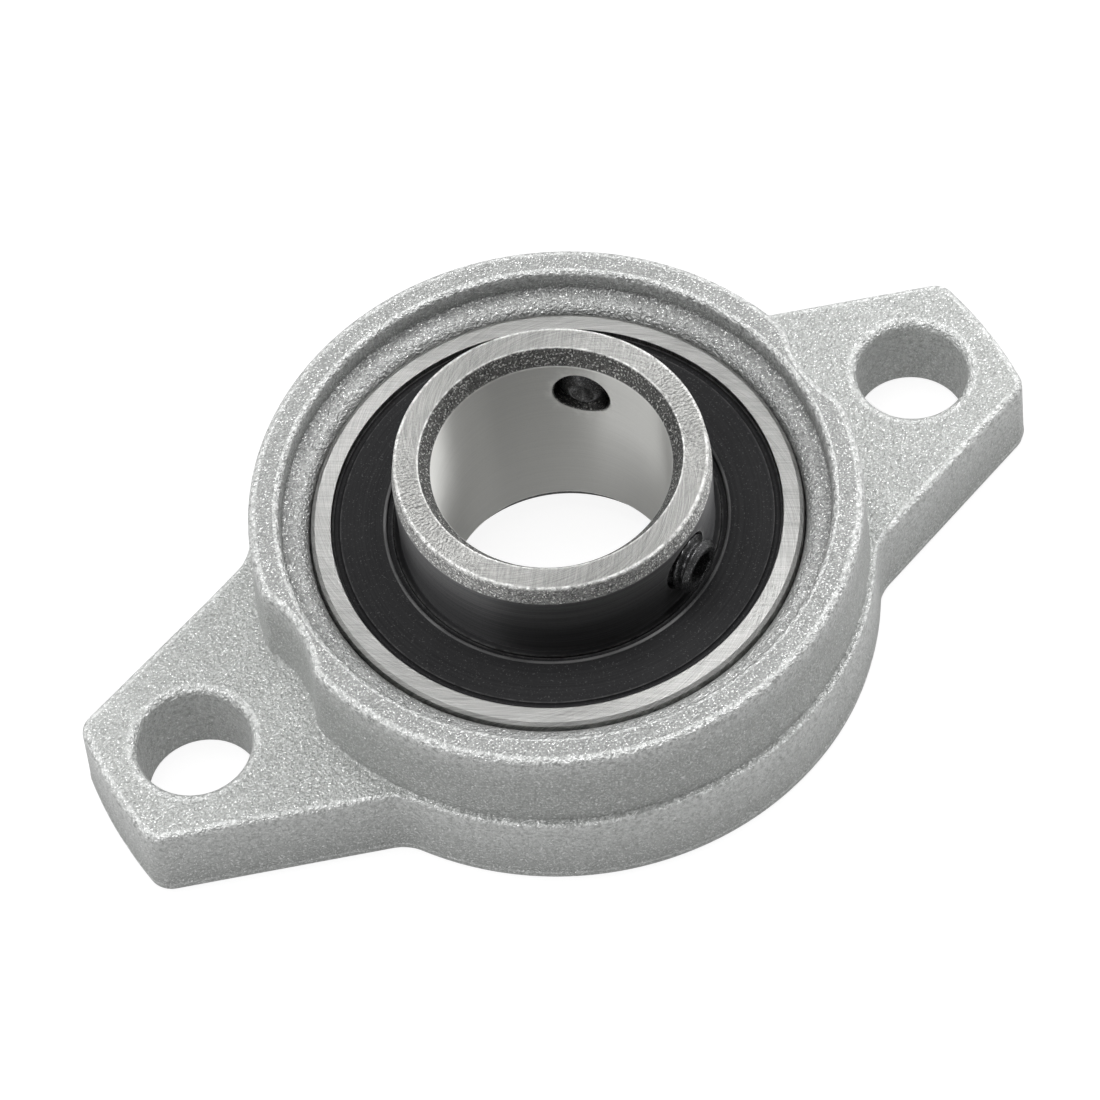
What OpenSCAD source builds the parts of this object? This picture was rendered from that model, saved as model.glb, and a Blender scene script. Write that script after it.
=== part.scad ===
// Two-bolt flange bearing: a cast housing holds a self-aligning ball bearing insert.
// Millimetres. The mounting face is z = 0 and the shaft axis is the Z axis.

/* [Flange] */
// Distance between the two bolt holes
bolt_spacing = 53; // [52:0.5:58]
// Diameter of a bolt hole
bolt_hole_d = 7.2; // [6.4:0.1:8]
// Distance from a bolt hole's centre to the end of its ear, at the mounting face
ear_reach = 6.3; // [5.4:0.1:8]
// Thickness of the flange
flange_thick = 6.2; // [5:0.1:7]
// Width of the narrow ledge round the boss
flange_ledge = 0.45; // [0.45:0.05:1.6]
// Width of an ear between its side lines, measured at its end
ear_end_width = 10; // [8:0.2:12]
// Angle of an ear's sides to the line through the bolt holes
ear_side_angle = 19.8; // [14:0.2:24]
// Corner radius of the ears, at the mounting face
ear_corner_r = 1.7; // [1:0.1:2.4]
// How far the middle of an ear's end stands out past its corners
ear_end_bulge = 0.25; // [0:0.05:0.6]
// Radius of the hollow between an ear and the round middle
ear_root_r = 3; // [1.5:0.1:5]
// How far the flange's walls lean in from the bottom to the top
flange_draft = 0.3; // [0.1:0.05:0.5]
// Rounding of the bolt holes' upper edges
bolt_hole_round = 0.6; // [0.2:0.05:0.9]

/* [Housing boss] */
// Gap between the outer ring's ball-shaped outside and the rim's inner wall
rim_gap = 1.35; // [1:0.05:2]
// Thickness of the rim
rim_wall = 1.95; // [1.5:0.05:2.5]
// How far the boss grows in radius from the rim down to the flange
boss_draft = 0.35; // [0.1:0.05:0.5]
// Depth of the step inside the rim
rim_step_depth = 1.65; // [1:0.05:2]
// How far the outer ring's front face stands out of the seat
seat_setback = 0.7; // [0.5:0.05:1.2]
// Radius of the rolled edge at the front of the seat
seat_lip_r = 0.95; // [0.5:0.05:1.3]
// How much smaller in radius the opening behind the seat is than the seat
seat_rear_step = 1; // [0.5:0.05:1.5]
// How deep the clearance for a bolt head cuts into the boss
scallop_depth = 1; // [0:0.05:1.2]
// Rounding of the rim's outer and inner edges
rim_edge_r = 0.5; // [0.2:0.05:0.7]
// Fillet between the boss and the flange
boss_foot_r = 0.3; // [0.1:0.05:0.4]

/* [Bearing insert] */
// Shaft diameter
bore_d = 15; // [14:0.1:15.4]
// Diameter of the outer ring's ball-shaped outside
outer_d = 32; // [31.6:0.1:33]
// Total width of the inner ring
inner_width = 16.5; // [16:0.1:18]
// How far the inner ring reaches behind the outer ring's middle
tail_length = 6.15; // [5.4:0.05:6.4]
// Gap between the inner ring's rear end and the mounting face
tail_gap = 0.55; // [0.5:0.05:1.5]
// How much the nose is smaller in radius than the inner ring under the balls
land_step = 0.4; // [0.2:0.05:0.6]
// Diameter of the inner ring under the balls, below the pitch circle, as a share of a ball
land_share = 0.588; // [0.5:0.002:0.65]
// Diameter of the outer ring beside its groove, above the pitch circle, as a share of a ball
shoulder_share = 0.63; // [0.55:0.002:0.7]
// Play between the seat and the outer ring's outside
seat_play = 0.03; // [0.02:0.01:0.08]
// Small chamfer on the outer ring's edges
outer_chamfer = 0.2; // [0.1:0.05:0.4]
// Radial size of the bore's end chamfers
bore_chamfer = 0.73; // [0.3:0.01:0.9]
// Depth of the chamfer at the front end of the bore
bore_chamfer_front = 1.07; // [0.4:0.01:1.4]
// Depth of the chamfer at the rear end of the bore
bore_chamfer_rear = 1.35; // [0.4:0.01:1.6]
// Radial size of the nose's outer chamfer
nose_chamfer = 0.2; // [0.1:0.01:0.4]
// Depth of the nose's outer chamfer
nose_chamfer_length = 1.4; // [0.4:0.05:1.8]

/* [Balls and cage] */
// Diameter of a ball as a share of the distance from the bore to the outer ring's outside
ball_share = 0.56; // [0.5:0.005:0.6]
// Groove radius as a share of the ball's diameter
groove_conformity = 0.52; // [0.51:0.005:0.54]
// Play between a ball and each of its two grooves
race_play = 0.02; // [0.01:0.005:0.04]
// Thickness of the cage's sheet
cage_sheet = 0.4; // [0.3:0.05:0.45]
// Width of the cage's band, measured along a radius
cage_band = 1.8; // [1.4:0.1:2]
// Play between a ball and its pocket
pocket_play = 0.06; // [0.04:0.01:0.1]
// Gap between the cage's pockets and the seals' washers
cage_gap = 0.21; // [0.1:0.01:0.5]
// Diameter of a rivet's shank
rivet_d = 0.8; // [0.5:0.05:0.9]
// Diameter of a rivet's head
rivet_head_d = 1.3; // [1:0.05:1.5]
// Height of a rivet's head
rivet_head_h = 0.25; // [0.15:0.05:0.4]

/* [Seals] */
// Depth of the seals' seats in the outer ring, along a radius
seal_seat_step = 1; // [0.8:0.05:1.2]
// Gap between the inner ring and a seal's bead
seal_gap = 0.4; // [0.25:0.05:0.6]
// Thickness of a seal's rubber
seal_rubber = 0.4; // [0.3:0.05:0.45]
// Thickness of a seal's steel washer
seal_steel = 0.2; // [0.15:0.05:0.25]
// Distance of a seal's front below the outer ring's face
seal_recess = 0.35; // [0.3:0.05:0.5]
// Width of the bead along a seal's inner edge
seal_bead_w = 0.24; // [0.16:0.02:0.4]
// Width of the groove along a seal's outer edge
seal_groove_w = 0.4; // [0.2:0.05:0.6]
// How far a seal's steel washer stays inside the rubber's edges
seal_washer_margin = 0.4; // [0.3:0.05:0.6]
// Play between a seal and its seat
seal_play = 0.01; // [0.005:0.005:0.03]
// Thickness of a seal's lip
seal_lip = 0.2; // [0.1:0.02:0.3]
// Play between a seal's lip and the inner ring
seal_lip_play = 0.03; // [0.02:0.01:0.1]

/* [Set screws] */
// Mean diameter of a set screw's thread
screw_d = 3.64; // [3.2:0.02:4]
// Length of a set screw
screw_length = 3.5; // [3:0.1:5]
// Height of the set screws between the front seal and the nose's front face, as a share
screw_height_share = 0.4225; // [0.38:0.0025:0.55]
// Direction of the first set screw round the shaft axis
screw_1_angle = -64; // [-90:1:-40]
// Direction of the second set screw round the shaft axis
screw_2_angle = 46.4; // [20:0.2:80]
// Diameter of the cup at a set screw's point
screw_cup_d = 1.6; // [1.2:0.1:2.4]
// Depth of the cup
screw_cup_depth = 0.5; // [0.2:0.05:0.8]
// Width of the flat edge round the cup
screw_cup_edge = 0.1; // [0.05:0.05:0.2]
// Length of a set screw's tapered point
screw_point = 0.75; // [0.4:0.05:1]
// Width of the hex socket across its flats
socket_width = 2; // [1.5:0.1:2.2]
// Depth of the hex socket
socket_depth = 1.8; // [1:0.1:2.2]
// Play between a set screw and its hole
screw_play = 0.02; // [0.01:0.005:0.05]

/* [Hidden] */
$fn = 96;
arc_steps = 6;
post_fn = 48;
ball_count = 9;
past = 1;
bite = 0.02;

ball_step = 360 / ball_count;
pitch_d = (bore_d + outer_d) / 2;
ball_d = ball_share * (outer_d - bore_d) / 2;
cage_half_h = ball_d / 2 + pocket_play + cage_sheet;
outer_width = 2 * (cage_half_h + cage_gap + seal_steel + seal_rubber + seal_recess);
land_d = pitch_d - land_share * ball_d;
nose_d = land_d - 2 * land_step;
outer_shoulder_d = pitch_d + shoulder_share * ball_d;
seal_seat_d = outer_shoulder_d + 2 * seal_seat_step;
seal_bore_d = land_d + 2 * seal_gap;
ring_center_z = tail_gap + tail_length;
groove_r = groove_conformity * ball_d;
outer_race_r = pitch_d / 2 + ball_d / 2 + race_play;
inner_race_r = pitch_d / 2 - ball_d / 2 - race_play;
seat_r = outer_d / 2 + seat_play;
seat_front = outer_width / 2 - seat_setback;
seat_rear_d = outer_d - 2 * seat_rear_step;
rim_bore_d = outer_d + 2 * rim_gap;
rim_d = rim_bore_d + 2 * rim_wall;
rim_step_z = ring_center_z + seat_front + seat_lip_r;
rim_height = rim_step_z + rim_step_depth;
flange_length = bolt_spacing + 2 * ear_reach;
boss_foot_d = rim_d + 2 * boss_draft;
bolt_head_clear_d = bolt_spacing - boss_foot_d + 2 * scallop_depth;
flange_round_d = boss_foot_d + 2 * (flange_ledge + flange_draft);
inner_rear_z = tail_gap;
nose_front_z = inner_rear_z + inner_width;
seal_front = outer_width / 2 - seal_recess;
seal_top_z = ring_center_z + seal_front + seal_bead_w / 2;
screw_z = seal_top_z + screw_height_share * (nose_front_z - seal_top_z);
washer_front = seal_front - seal_rubber;
washer_rear = washer_front - seal_steel;

// Points of an arc from angle a0 to angle a1, about (cx, cy)
function arc(cx, cy, r, a0, a1) =
    [for (i = [0:arc_steps]) [cx + r * cos(a0 + (a1 - a0) * i / arc_steps),
                              cy + r * sin(a0 + (a1 - a0) * i / arc_steps)]];

// Height of an ear's side line above the X axis, at x, moved outwards by shift
function ear_side(x, shift = 0) =
    ear_end_width / 2 + tan(ear_side_angle) * (flange_length / 2 - x) + shift / cos(ear_side_angle);

// A wall post of an ear: it leans in by the draft, and one of its corners faces the angle given
module ear_post(x, y, r, facing = 0) {
    translate([x, y, 0]) rotate([0, 0, facing])
        cylinder(r1 = r, r2 = r - flange_draft, h = flange_thick, $fn = post_fn);
}

// One ear: a tapered plate with round corners and a slightly convex end
module ear() {
    corner_x = flange_length / 2 - ear_end_bulge - ear_corner_r;
    end_r = ear_end_width / 2;
    root_x = flange_round_d / 4;
    outwards = 90 - ear_side_angle;
    hull() {
        for (side = [-1, 1]) {
            ear_post(corner_x, side * ear_side(corner_x, -ear_corner_r), ear_corner_r, side * outwards);
            ear_post(root_x, side * ear_side(root_x, -ear_corner_r), ear_corner_r, side * outwards);
        }
        ear_post(flange_length / 2 - end_r, 0, end_r);
    }
}

// The hollow corner between one ear side and the round middle of the flange
module ear_root() {
    slope = tan(ear_side_angle);
    reach = flange_round_d / 2 + ear_root_r;
    side_0 = ear_side(0, ear_root_r);
    spread = 1 + slope * slope;
    cx = (side_0 * slope + sqrt(pow(side_0 * slope, 2) - spread * (side_0 * side_0 - reach * reach))) / spread;
    cy = side_0 - slope * cx;
    lean = flange_draft / flange_thick;
    r = ear_root_r + bite;
    to_side = ear_root_r + 2 * flange_draft;
    on_side = [cx - to_side * sin(ear_side_angle), cy - to_side * cos(ear_side_angle)];
    in_round = [cx, cy] * (flange_round_d / 2 - ear_root_r) / reach;
    difference() {
        linear_extrude(flange_thick)
            polygon([on_side, [cx, cy], in_round]);
        translate([cx, cy, -past])
            cylinder(r1 = r - lean * past, r2 = r + flange_draft + lean * past, h = flange_thick + 2 * past);
    }
}

// The round middle of the flange and the boss, before the bearing's seat is cut
module round_body() {
    rim_r = rim_d / 2;
    rim_bore_r = rim_bore_d / 2;
    foot_r = boss_foot_d / 2;
    lean = boss_draft / (rim_height - flange_thick);
    clear_r = bolt_head_clear_d / 2;
    cylinder(d1 = flange_round_d, d2 = flange_round_d - 2 * flange_draft, h = flange_thick);
    difference() {
        rotate_extrude()
            polygon(concat(
                [[seat_rear_d / 2 - past, flange_thick - past], [foot_r + boss_foot_r, flange_thick - past]],
                arc(foot_r + boss_foot_r, flange_thick + boss_foot_r, boss_foot_r, 270, 180),
                arc(rim_r - rim_edge_r, rim_height - rim_edge_r, rim_edge_r, 0, 90),
                arc(rim_bore_r + rim_edge_r, rim_height - rim_edge_r, rim_edge_r, 90, 180),
                [[rim_bore_r, rim_step_z], [seat_rear_d / 2 - past, rim_step_z]]));
        for (side = [-1, 1])
            translate([side * bolt_spacing / 2, 0, flange_thick - 2 * past])
                cylinder(r1 = clear_r - lean * 2 * past, r2 = clear_r + boss_draft + lean * past,
                         h = rim_height - flange_thick + 3 * past);
    }
}

// What is cut for the bearing: the ball-shaped seat, its rear opening and its rolled front edge
module seat_cut() {
    seat_front_z = ring_center_z + seat_front;
    seat_edge_r = sqrt(seat_r * seat_r - seat_front * seat_front);
    translate([0, 0, ring_center_z])
        sphere(r = seat_r);
    translate([0, 0, -past])
        cylinder(d = seat_rear_d, h = ring_center_z);
    rotate_extrude()
        polygon(concat(
            [[0, ring_center_z], [seat_edge_r - past, ring_center_z], [seat_edge_r, seat_front_z]],
            arc(seat_edge_r + seat_lip_r, seat_front_z, seat_lip_r, 180, 90),
            [[seat_edge_r + seat_lip_r, rim_height + past], [0, rim_height + past]]));
}

// What is cut for one bolt: a round hole with a rounded upper edge
module bolt_hole_cut() {
    r = bolt_hole_d / 2;
    round = bolt_hole_round;
    rotate_extrude()
        polygon(concat(
            [[0, -past], [r, -past]],
            arc(r + round, flange_thick - round, round, 180, 90),
            [[r + round, flange_thick + past], [0, flange_thick + past]]));
}

module housing() {
    color("lightgray")
    difference() {
        union() {
            round_body();
            for (turn = [0, 180])
                rotate([0, 0, turn]) {
                    ear();
                    ear_root();
                    mirror([0, 1, 0]) ear_root();
                }
        }
        seat_cut();
        for (side = [-1, 1])
            translate([side * bolt_spacing / 2, 0, 0]) bolt_hole_cut();
    }
}

// Outer ring: ball-shaped outside, a ball groove and a seal seat at each end
module outer_ring() {
    half = outer_width / 2;
    face_r = sqrt(outer_d * outer_d / 4 - half * half) - outer_chamfer;
    slope = outer_d / 2 - face_r;
    color("gainsboro")
    translate([0, 0, ring_center_z])
    difference() {
        intersection() {
            sphere(d = outer_d);
            rotate_extrude()
                polygon([[0, -half], [face_r, -half], [outer_d / 2, slope - half],
                         [outer_d / 2, half - slope], [face_r, half], [0, half]]);
        }
        cylinder(d = outer_shoulder_d, h = outer_width + 2 * past, center = true);
        for (side = [0, 1])
            mirror([0, 0, side])
                translate([0, 0, washer_rear]) cylinder(d = seal_seat_d, h = half);
        rotate_extrude()
            translate([outer_race_r - groove_r, 0]) circle(r = groove_r);
    }
}

// Inner ring: a long nose with the set screw holes, a land and a ball groove
module inner_ring() {
    bore_r = bore_d / 2;
    nose_r = nose_d / 2;
    land_end = seal_front - seal_bead_w / 4;
    color("dimgray")
    difference() {
        rotate_extrude()
            polygon([
                [bore_r, inner_rear_z + bore_chamfer_rear], [bore_r + bore_chamfer, inner_rear_z],
                [nose_r - nose_chamfer, inner_rear_z], [nose_r, inner_rear_z + nose_chamfer],
                [nose_r, ring_center_z - land_end], [land_d / 2, ring_center_z - land_end],
                [land_d / 2, ring_center_z + land_end], [nose_r, ring_center_z + land_end],
                [nose_r, nose_front_z - nose_chamfer_length], [nose_r - nose_chamfer, nose_front_z],
                [bore_r + bore_chamfer, nose_front_z], [bore_r, nose_front_z - bore_chamfer_front]]);
        translate([0, 0, ring_center_z])
            rotate_extrude()
                translate([inner_race_r + groove_r, 0]) circle(r = groove_r);
        for (angle = [screw_1_angle, screw_2_angle])
            rotate([0, 0, angle]) translate([bore_r / 2, 0, screw_z]) rotate([0, 90, 0])
                cylinder(d = screw_d + 2 * screw_play, h = nose_d / 2);
    }
}

// Front or rear seal rubber: a flat ring with a bead and a thin lip inside, and a groove outside
module seal_rubber_ring(side) {
    outer_r = seal_seat_d / 2 - seal_play;
    lip_r = land_d / 2 + seal_lip_play;
    bead_r = seal_bead_w / 2;
    color([0.12, 0.12, 0.13])
    translate([0, 0, ring_center_z]) mirror([0, 0, side])
    rotate_extrude()
        difference() {
            union() {
                translate([seal_bore_d / 2, washer_front]) square([outer_r - seal_bore_d / 2, seal_rubber]);
                translate([seal_bore_d / 2 + bead_r, seal_front]) circle(r = bead_r, $fn = 24);
                translate([lip_r, washer_front]) square([seal_bore_d / 2 + bead_r - lip_r, seal_lip]);
            }
            translate([outer_r - seal_groove_w / 2 - bead_r, seal_front])
                circle(d = seal_groove_w, $fn = 24);
        }
}

// Steel washer behind a seal's rubber, seated on the step in the outer ring
module seal_washer(side) {
    color("darkgray")
    translate([0, 0, ring_center_z]) mirror([0, 0, side])
    rotate_extrude()
        translate([seal_bore_d / 2 + seal_washer_margin, washer_rear])
            square([(seal_seat_d - seal_bore_d) / 2 - 2 * seal_washer_margin, seal_steel]);
}

module ball(number) {
    color("silver")
    translate([0, 0, ring_center_z]) rotate([0, 0, (number - 1) * ball_step])
        translate([pitch_d / 2, 0, 0]) sphere(d = ball_d);
}

// Front or rear half of the cage: a flat band pressed into a pocket at each ball
module cage_half(side) {
    pocket_r = ball_d / 2 + pocket_play;
    color("goldenrod")
    translate([0, 0, ring_center_z]) mirror([0, 0, side])
    difference() {
        intersection() {
            union() {
                cylinder(d = outer_d, h = cage_sheet);
                for (i = [0:ball_count - 1])
                    rotate([0, 0, i * ball_step]) translate([pitch_d / 2, 0, 0])
                        sphere(r = pocket_r + cage_sheet);
            }
            difference() {
                cylinder(d = pitch_d + cage_band, h = ball_d);
                translate([0, 0, -past]) cylinder(d = pitch_d - cage_band, h = ball_d + 2 * past);
            }
        }
        for (i = [0:ball_count - 1])
            rotate([0, 0, i * ball_step]) translate([pitch_d / 2, 0, 0])
                sphere(r = pocket_r);
        for (i = [0:ball_count - 1])
            rotate([0, 0, (i + 0.5) * ball_step]) translate([pitch_d / 2, 0, -past])
                cylinder(d = rivet_d, h = cage_sheet + 2 * past, $fn = 24);
    }
}

// The rivets that hold the two cage halves together
module cage_rivets() {
    color("silver")
    translate([0, 0, ring_center_z])
    for (i = [0:ball_count - 1])
        rotate([0, 0, (i + 0.5) * ball_step]) translate([pitch_d / 2, 0, 0]) {
            cylinder(d = rivet_d, h = 2 * cage_sheet, center = true, $fn = 24);
            for (side = [0, 1])
                mirror([0, 0, side]) translate([0, 0, cage_sheet])
                    cylinder(d = rivet_head_d, h = rivet_head_h, $fn = 24);
        }
}

// Set screw with a cup point at the bore and a hex socket outside
module set_screw(angle) {
    r = screw_d / 2;
    cup_r = screw_cup_d / 2;
    color([0.1, 0.1, 0.1])
    rotate([0, 0, angle]) translate([bore_d / 2, 0, screw_z]) rotate([0, 90, 0])
    difference() {
        union() {
            cylinder(r1 = cup_r + screw_cup_edge, r2 = r, h = screw_point);
            translate([0, 0, screw_point]) cylinder(r = r, h = screw_length - screw_point);
        }
        translate([0, 0, -past]) cylinder(r = cup_r, h = past);
        cylinder(r1 = cup_r, r2 = 0, h = screw_cup_depth);
        translate([0, 0, screw_length - socket_depth])
            cylinder(r = socket_width / sqrt(3), h = socket_depth + past, $fn = 6);
    }
}

module front_seal_rubber() { seal_rubber_ring(0); }
module rear_seal_rubber() { seal_rubber_ring(1); }
module front_seal_washer() { seal_washer(0); }
module rear_seal_washer() { seal_washer(1); }
module cage_front() { cage_half(0); }
module cage_rear() { cage_half(1); }

housing();
outer_ring();
inner_ring();
front_seal_rubber();
front_seal_washer();
rear_seal_rubber();
rear_seal_washer();
cage_front();
cage_rear();
cage_rivets();
ball(1);  // ball_1
ball(2);  // ball_2
ball(3);  // ball_3
ball(4);  // ball_4
ball(5);  // ball_5
ball(6);  // ball_6
ball(7);  // ball_7
ball(8);  // ball_8
ball(9);  // ball_9
set_screw(screw_1_angle);  // set_screw_1
set_screw(screw_2_angle);  // set_screw_2
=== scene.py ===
# %% [markdown]
# # A two-bolt flange bearing
# A blasted zinc casting holds a ball bearing whose outside is a piece of a sphere, so that the
# bearing can tilt in its seat. The packed model gives every piece its place. This script puts finer
# shapes in the place of most solids and gives every piece its finish. The washers and the cage, which
# are hidden and already have the right shape, stay plain solids.

# %% Load the packed model
import math

import bpy
import numpy as np
from mathutils import Matrix, Vector
from mathutils.geometry import delaunay_2d_cdt


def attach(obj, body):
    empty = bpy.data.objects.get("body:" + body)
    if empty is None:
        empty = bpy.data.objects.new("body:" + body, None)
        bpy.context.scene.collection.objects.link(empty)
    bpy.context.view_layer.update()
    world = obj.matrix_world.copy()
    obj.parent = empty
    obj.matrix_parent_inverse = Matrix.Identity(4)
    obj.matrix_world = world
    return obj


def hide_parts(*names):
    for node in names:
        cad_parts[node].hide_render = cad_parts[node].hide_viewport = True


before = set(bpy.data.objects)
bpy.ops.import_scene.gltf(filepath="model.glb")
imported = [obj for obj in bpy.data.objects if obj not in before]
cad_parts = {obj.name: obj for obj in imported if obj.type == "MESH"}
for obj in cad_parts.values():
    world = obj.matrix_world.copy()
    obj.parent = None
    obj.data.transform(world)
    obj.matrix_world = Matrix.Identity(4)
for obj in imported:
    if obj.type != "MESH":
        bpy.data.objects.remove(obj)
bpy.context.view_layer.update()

MM = 0.001

# %% [markdown]
# ## The camera
# The photograph was solved for its camera from the circles in it: a long lens, looking down
# steeply from the front left, with the camera rolled a little. Its three angles give the camera's
# right, down and forward directions, which are the rows of a rotation matrix. The offset leads from
# the camera to a point half a millimetre above the middle of the mounting face. A Track To
# constraint could aim the camera too, but it can't roll it or shift it to one side.

# %% Camera
azimuth, elevation, roll = (math.radians(a) for a in (-24.411, 56.858, -6.544))
focal_pixels, photo_pixels, sensor_mm = 4152.92, 1100, 36
lens_mm = focal_pixels / photo_pixels * sensor_mm
right_mm, down_mm, away_mm = 1.045, 3.192, 269.81
aimed_at = Vector((0, 0, 0.5))

forward = -Vector((math.sin(azimuth) * math.cos(elevation),
                   -math.cos(azimuth) * math.cos(elevation), math.sin(elevation)))
level_right = Vector((math.cos(azimuth), math.sin(azimuth), 0))
level_down = forward.cross(level_right)
right = math.cos(roll) * level_right - math.sin(roll) * level_down
down = math.sin(roll) * level_right + math.cos(roll) * level_down
offset = right_mm * right + down_mm * down + away_mm * forward

camera_data = bpy.data.cameras.new("photo_camera")
camera_data.lens = lens_mm
camera_data.sensor_width = sensor_mm
camera_data.clip_start = 0.01
camera = bpy.data.objects.new("photo_camera", camera_data)
bpy.context.scene.collection.objects.link(camera)
turn = Matrix((right, -down, -forward)).transposed().to_4x4()
camera.matrix_world = Matrix.Translation((aimed_at - offset) * MM) @ turn
bpy.context.scene.camera = camera
print("camera at", [round(c, 4) for c in camera.matrix_world.translation], "m")
print("lens", round(lens_mm, 1), "mm")

# %% [markdown]
# ## Filling a flat face
# A flat face with holes in it can't be one polygon. A Boolean modifier would cut the holes, but it
# leaves long slivers that catch the light. A constrained Delaunay triangulation joins the outline and
# the holes by even triangles and keeps every edge that it is given. It fills the holes too, so a
# triangle is kept only if a line from its middle crosses the given edges an odd number of times.

# %% Filling
merge_distance = 1e-7


def filled(spots, loops, ids):
    """Counter-clockwise triangles between closed loops of spots in a plane, as numbers of ids."""
    edges, kept = [], []
    for loop in loops:
        edges += [(loop[i], loop[(i + 1) % len(loop)]) for i in range(len(loop))]
    made = delaunay_2d_cdt([Vector(p) for p in spots], edges, [], 0, merge_distance)
    corners, found, origin = made[0], made[2], made[3]
    starts = np.array([spots[edge[0]] for edge in edges])
    ends = np.array([spots[edge[1]] for edge in edges])
    for tri in found:
        (ax, ay), (bx, by), (cx, cy) = [corners[i] for i in tri]
        middle_x, middle_y = (ax + bx + cx) / 3, (ay + by + cy) / 3
        crossed = (starts[:, 1] > middle_y) != (ends[:, 1] > middle_y)
        rise = np.where(crossed, ends[:, 1] - starts[:, 1], 1)
        x = starts[:, 0] + (middle_y - starts[:, 1]) * (ends[:, 0] - starts[:, 0]) / rise
        if (crossed & (x > middle_x)).sum() % 2 == 0:
            continue
        order = [origin[i][0] for i in tri]
        area = (bx - ax) * (cy - ay) - (cx - ax) * (by - ay)
        kept.append(tuple(ids[i] for i in (order if area > 0 else order[::-1])))
    return kept


square = [(0, 0), (1, 0), (1, 1), (0, 1)]
print("a square takes", len(filled(square, [range(4)], range(4))), "triangles")

# %% [markdown]
# ## A shell of matched rings
# Castings and turned rings are closed skins whose shape is known at every point. A Bevel modifier on
# the packed solids would round their edges as well, but glossy steel shows each facet. So the normals
# are worked out here instead of being guessed from the facets. A shell collects rings of points,
# bridges them with quads, fills flat faces between loops, and keeps a normal for each face corner.
# It also keeps how worn each point is, from 0 to 1.

# %% The shell
class Shell:
    def __init__(self):
        self.points, self.worn, self.faces, self.normals = [], [], [], []

    def ring(self, points, worn=0.0):
        """Adds a closed ring of points, in millimetres, and returns their numbers."""
        first = len(self.points)
        self.points += [tuple(p) for p in points]
        self.worn += [worn] * len(points)
        return np.arange(first, len(self.points))

    def bridge(self, a, b, normals_a, normals_b):
        """Quads from ring a to ring b. Going up an outer wall, they face outwards."""
        n = len(a)
        for i in range(n):
            j = (i + 1) % n
            self.faces.append((a[i], a[j], b[j], b[i]))
            self.normals += [normals_a[i], normals_a[j], normals_b[j], normals_b[i]]

    def loft(self, rings, normals):
        """Bridges each ring to the next one."""
        for k in range(len(rings) - 1):
            self.bridge(rings[k], rings[k + 1], normals[k], normals[k + 1])

    def flat(self, loops, up):
        """Fills the plane between an outer loop and the loops inside it."""
        ids = np.concatenate(loops)
        starts = np.cumsum([0] + [len(loop) for loop in loops])
        local = [np.arange(starts[k], starts[k + 1]) for k in range(len(loops))]
        for tri in filled([self.points[i][:2] for i in ids], local, ids):
            self.faces.append(tri if up else tri[::-1])
            self.normals += [(0, 0, 1 if up else -1)] * 3

    def mesh(self, name):
        """The finished mesh in metres, with its wear and its own normals."""
        mesh = bpy.data.meshes.new(name)
        points = [tuple(MM * c for c in p) for p in self.points]
        mesh.from_pydata(points, [], [tuple(map(int, face)) for face in self.faces])
        worn = mesh.attributes.new("worn", "FLOAT", "POINT")
        worn.data.foreach_set("value", np.array(self.worn, np.float32))
        mesh.shade_smooth()
        mesh.normals_split_custom_set([tuple(n) for n in self.normals])
        mesh.update()
        return mesh


def show(name, mesh):
    """Puts a mesh in the scene as a piece of that name."""
    piece = bpy.data.objects.new(name, mesh)
    bpy.context.scene.collection.objects.link(piece)
    print(name, len(mesh.polygons), "faces,", len(mesh.edges), "edges")
    return piece


print("a shell keeps its", ", ".join(vars(Shell())))

# %% [markdown]
# ## Rounded profiles
# A lathe makes a ring by turning one profile round the axis. A Screw modifier could turn the profile
# too, but it knows nothing of wear. The profile is a polygon of radius and height with a rounding at
# each corner, listed counter-clockwise, so that outwards is to the right. Just before and after a
# rounding comes a guard row, which keeps the flats flat and the wear on the edge. A corner with no
# rounding is a point of a curve and takes the mean of its two edges' normals.

# %% Rounded profiles
longest_guard, guard_share = 0.1, 0.3


def rounded(corners, steps=4):
    """Rows of radius, height, two normal parts and wear, from corners of (radius, height, rounding)
    or (radius, height, rounding, wear)."""
    rows, n = [], len(corners)
    for i, (r, z, rounding, *own_wear) in enumerate(corners):
        here = np.array([r, z])
        before = here - np.array(corners[i - 1][:2])
        after = np.array(corners[(i + 1) % n][:2]) - here
        guards = [min(longest_guard, guard_share * np.hypot(*edge)) for edge in (before, after)]
        before, after = before / np.hypot(*before), after / np.hypot(*after)
        n0, n1 = np.array([before[1], -before[0]]), np.array([after[1], -after[0]])
        if rounding == 0:
            mean = (n0 + n1) / np.hypot(*(n0 + n1))
            rows.append((r, z, mean[0], mean[1], 0.0))
            continue
        bend = math.atan2(before[0] * after[1] - before[1] * after[0], before @ after)
        back = rounding * math.tan(abs(bend) / 2)
        side = 1 if bend > 0 else -1
        centre = here - back * before - side * rounding * n0
        wear = (own_wear or [1.0])[0] if side > 0 else 0.0
        first, last = here - (back + guards[0]) * before, here + (back + guards[1]) * after
        rows.append((*first, *n0, 0.0))
        for k in range(steps + 1):
            c, s = math.cos(bend * k / steps), math.sin(bend * k / steps)
            normal = np.array([n0[0] * c - n0[1] * s, n0[0] * s + n0[1] * c])
            rows.append((*(centre + side * rounding * normal), *normal, wear))
        rows.append((*last, *n1, 0.0))
    return rows


def arc_corners(cr, cz, r, a0, a1, steps):
    """Corners with no rounding along an arc given in degrees, without its two ends."""
    turns = [math.radians(a0 + (a1 - a0) * k / steps) for k in range(1, steps)]
    return [(cr + r * math.cos(a), cz + r * math.sin(a), 0) for a in turns]


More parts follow.
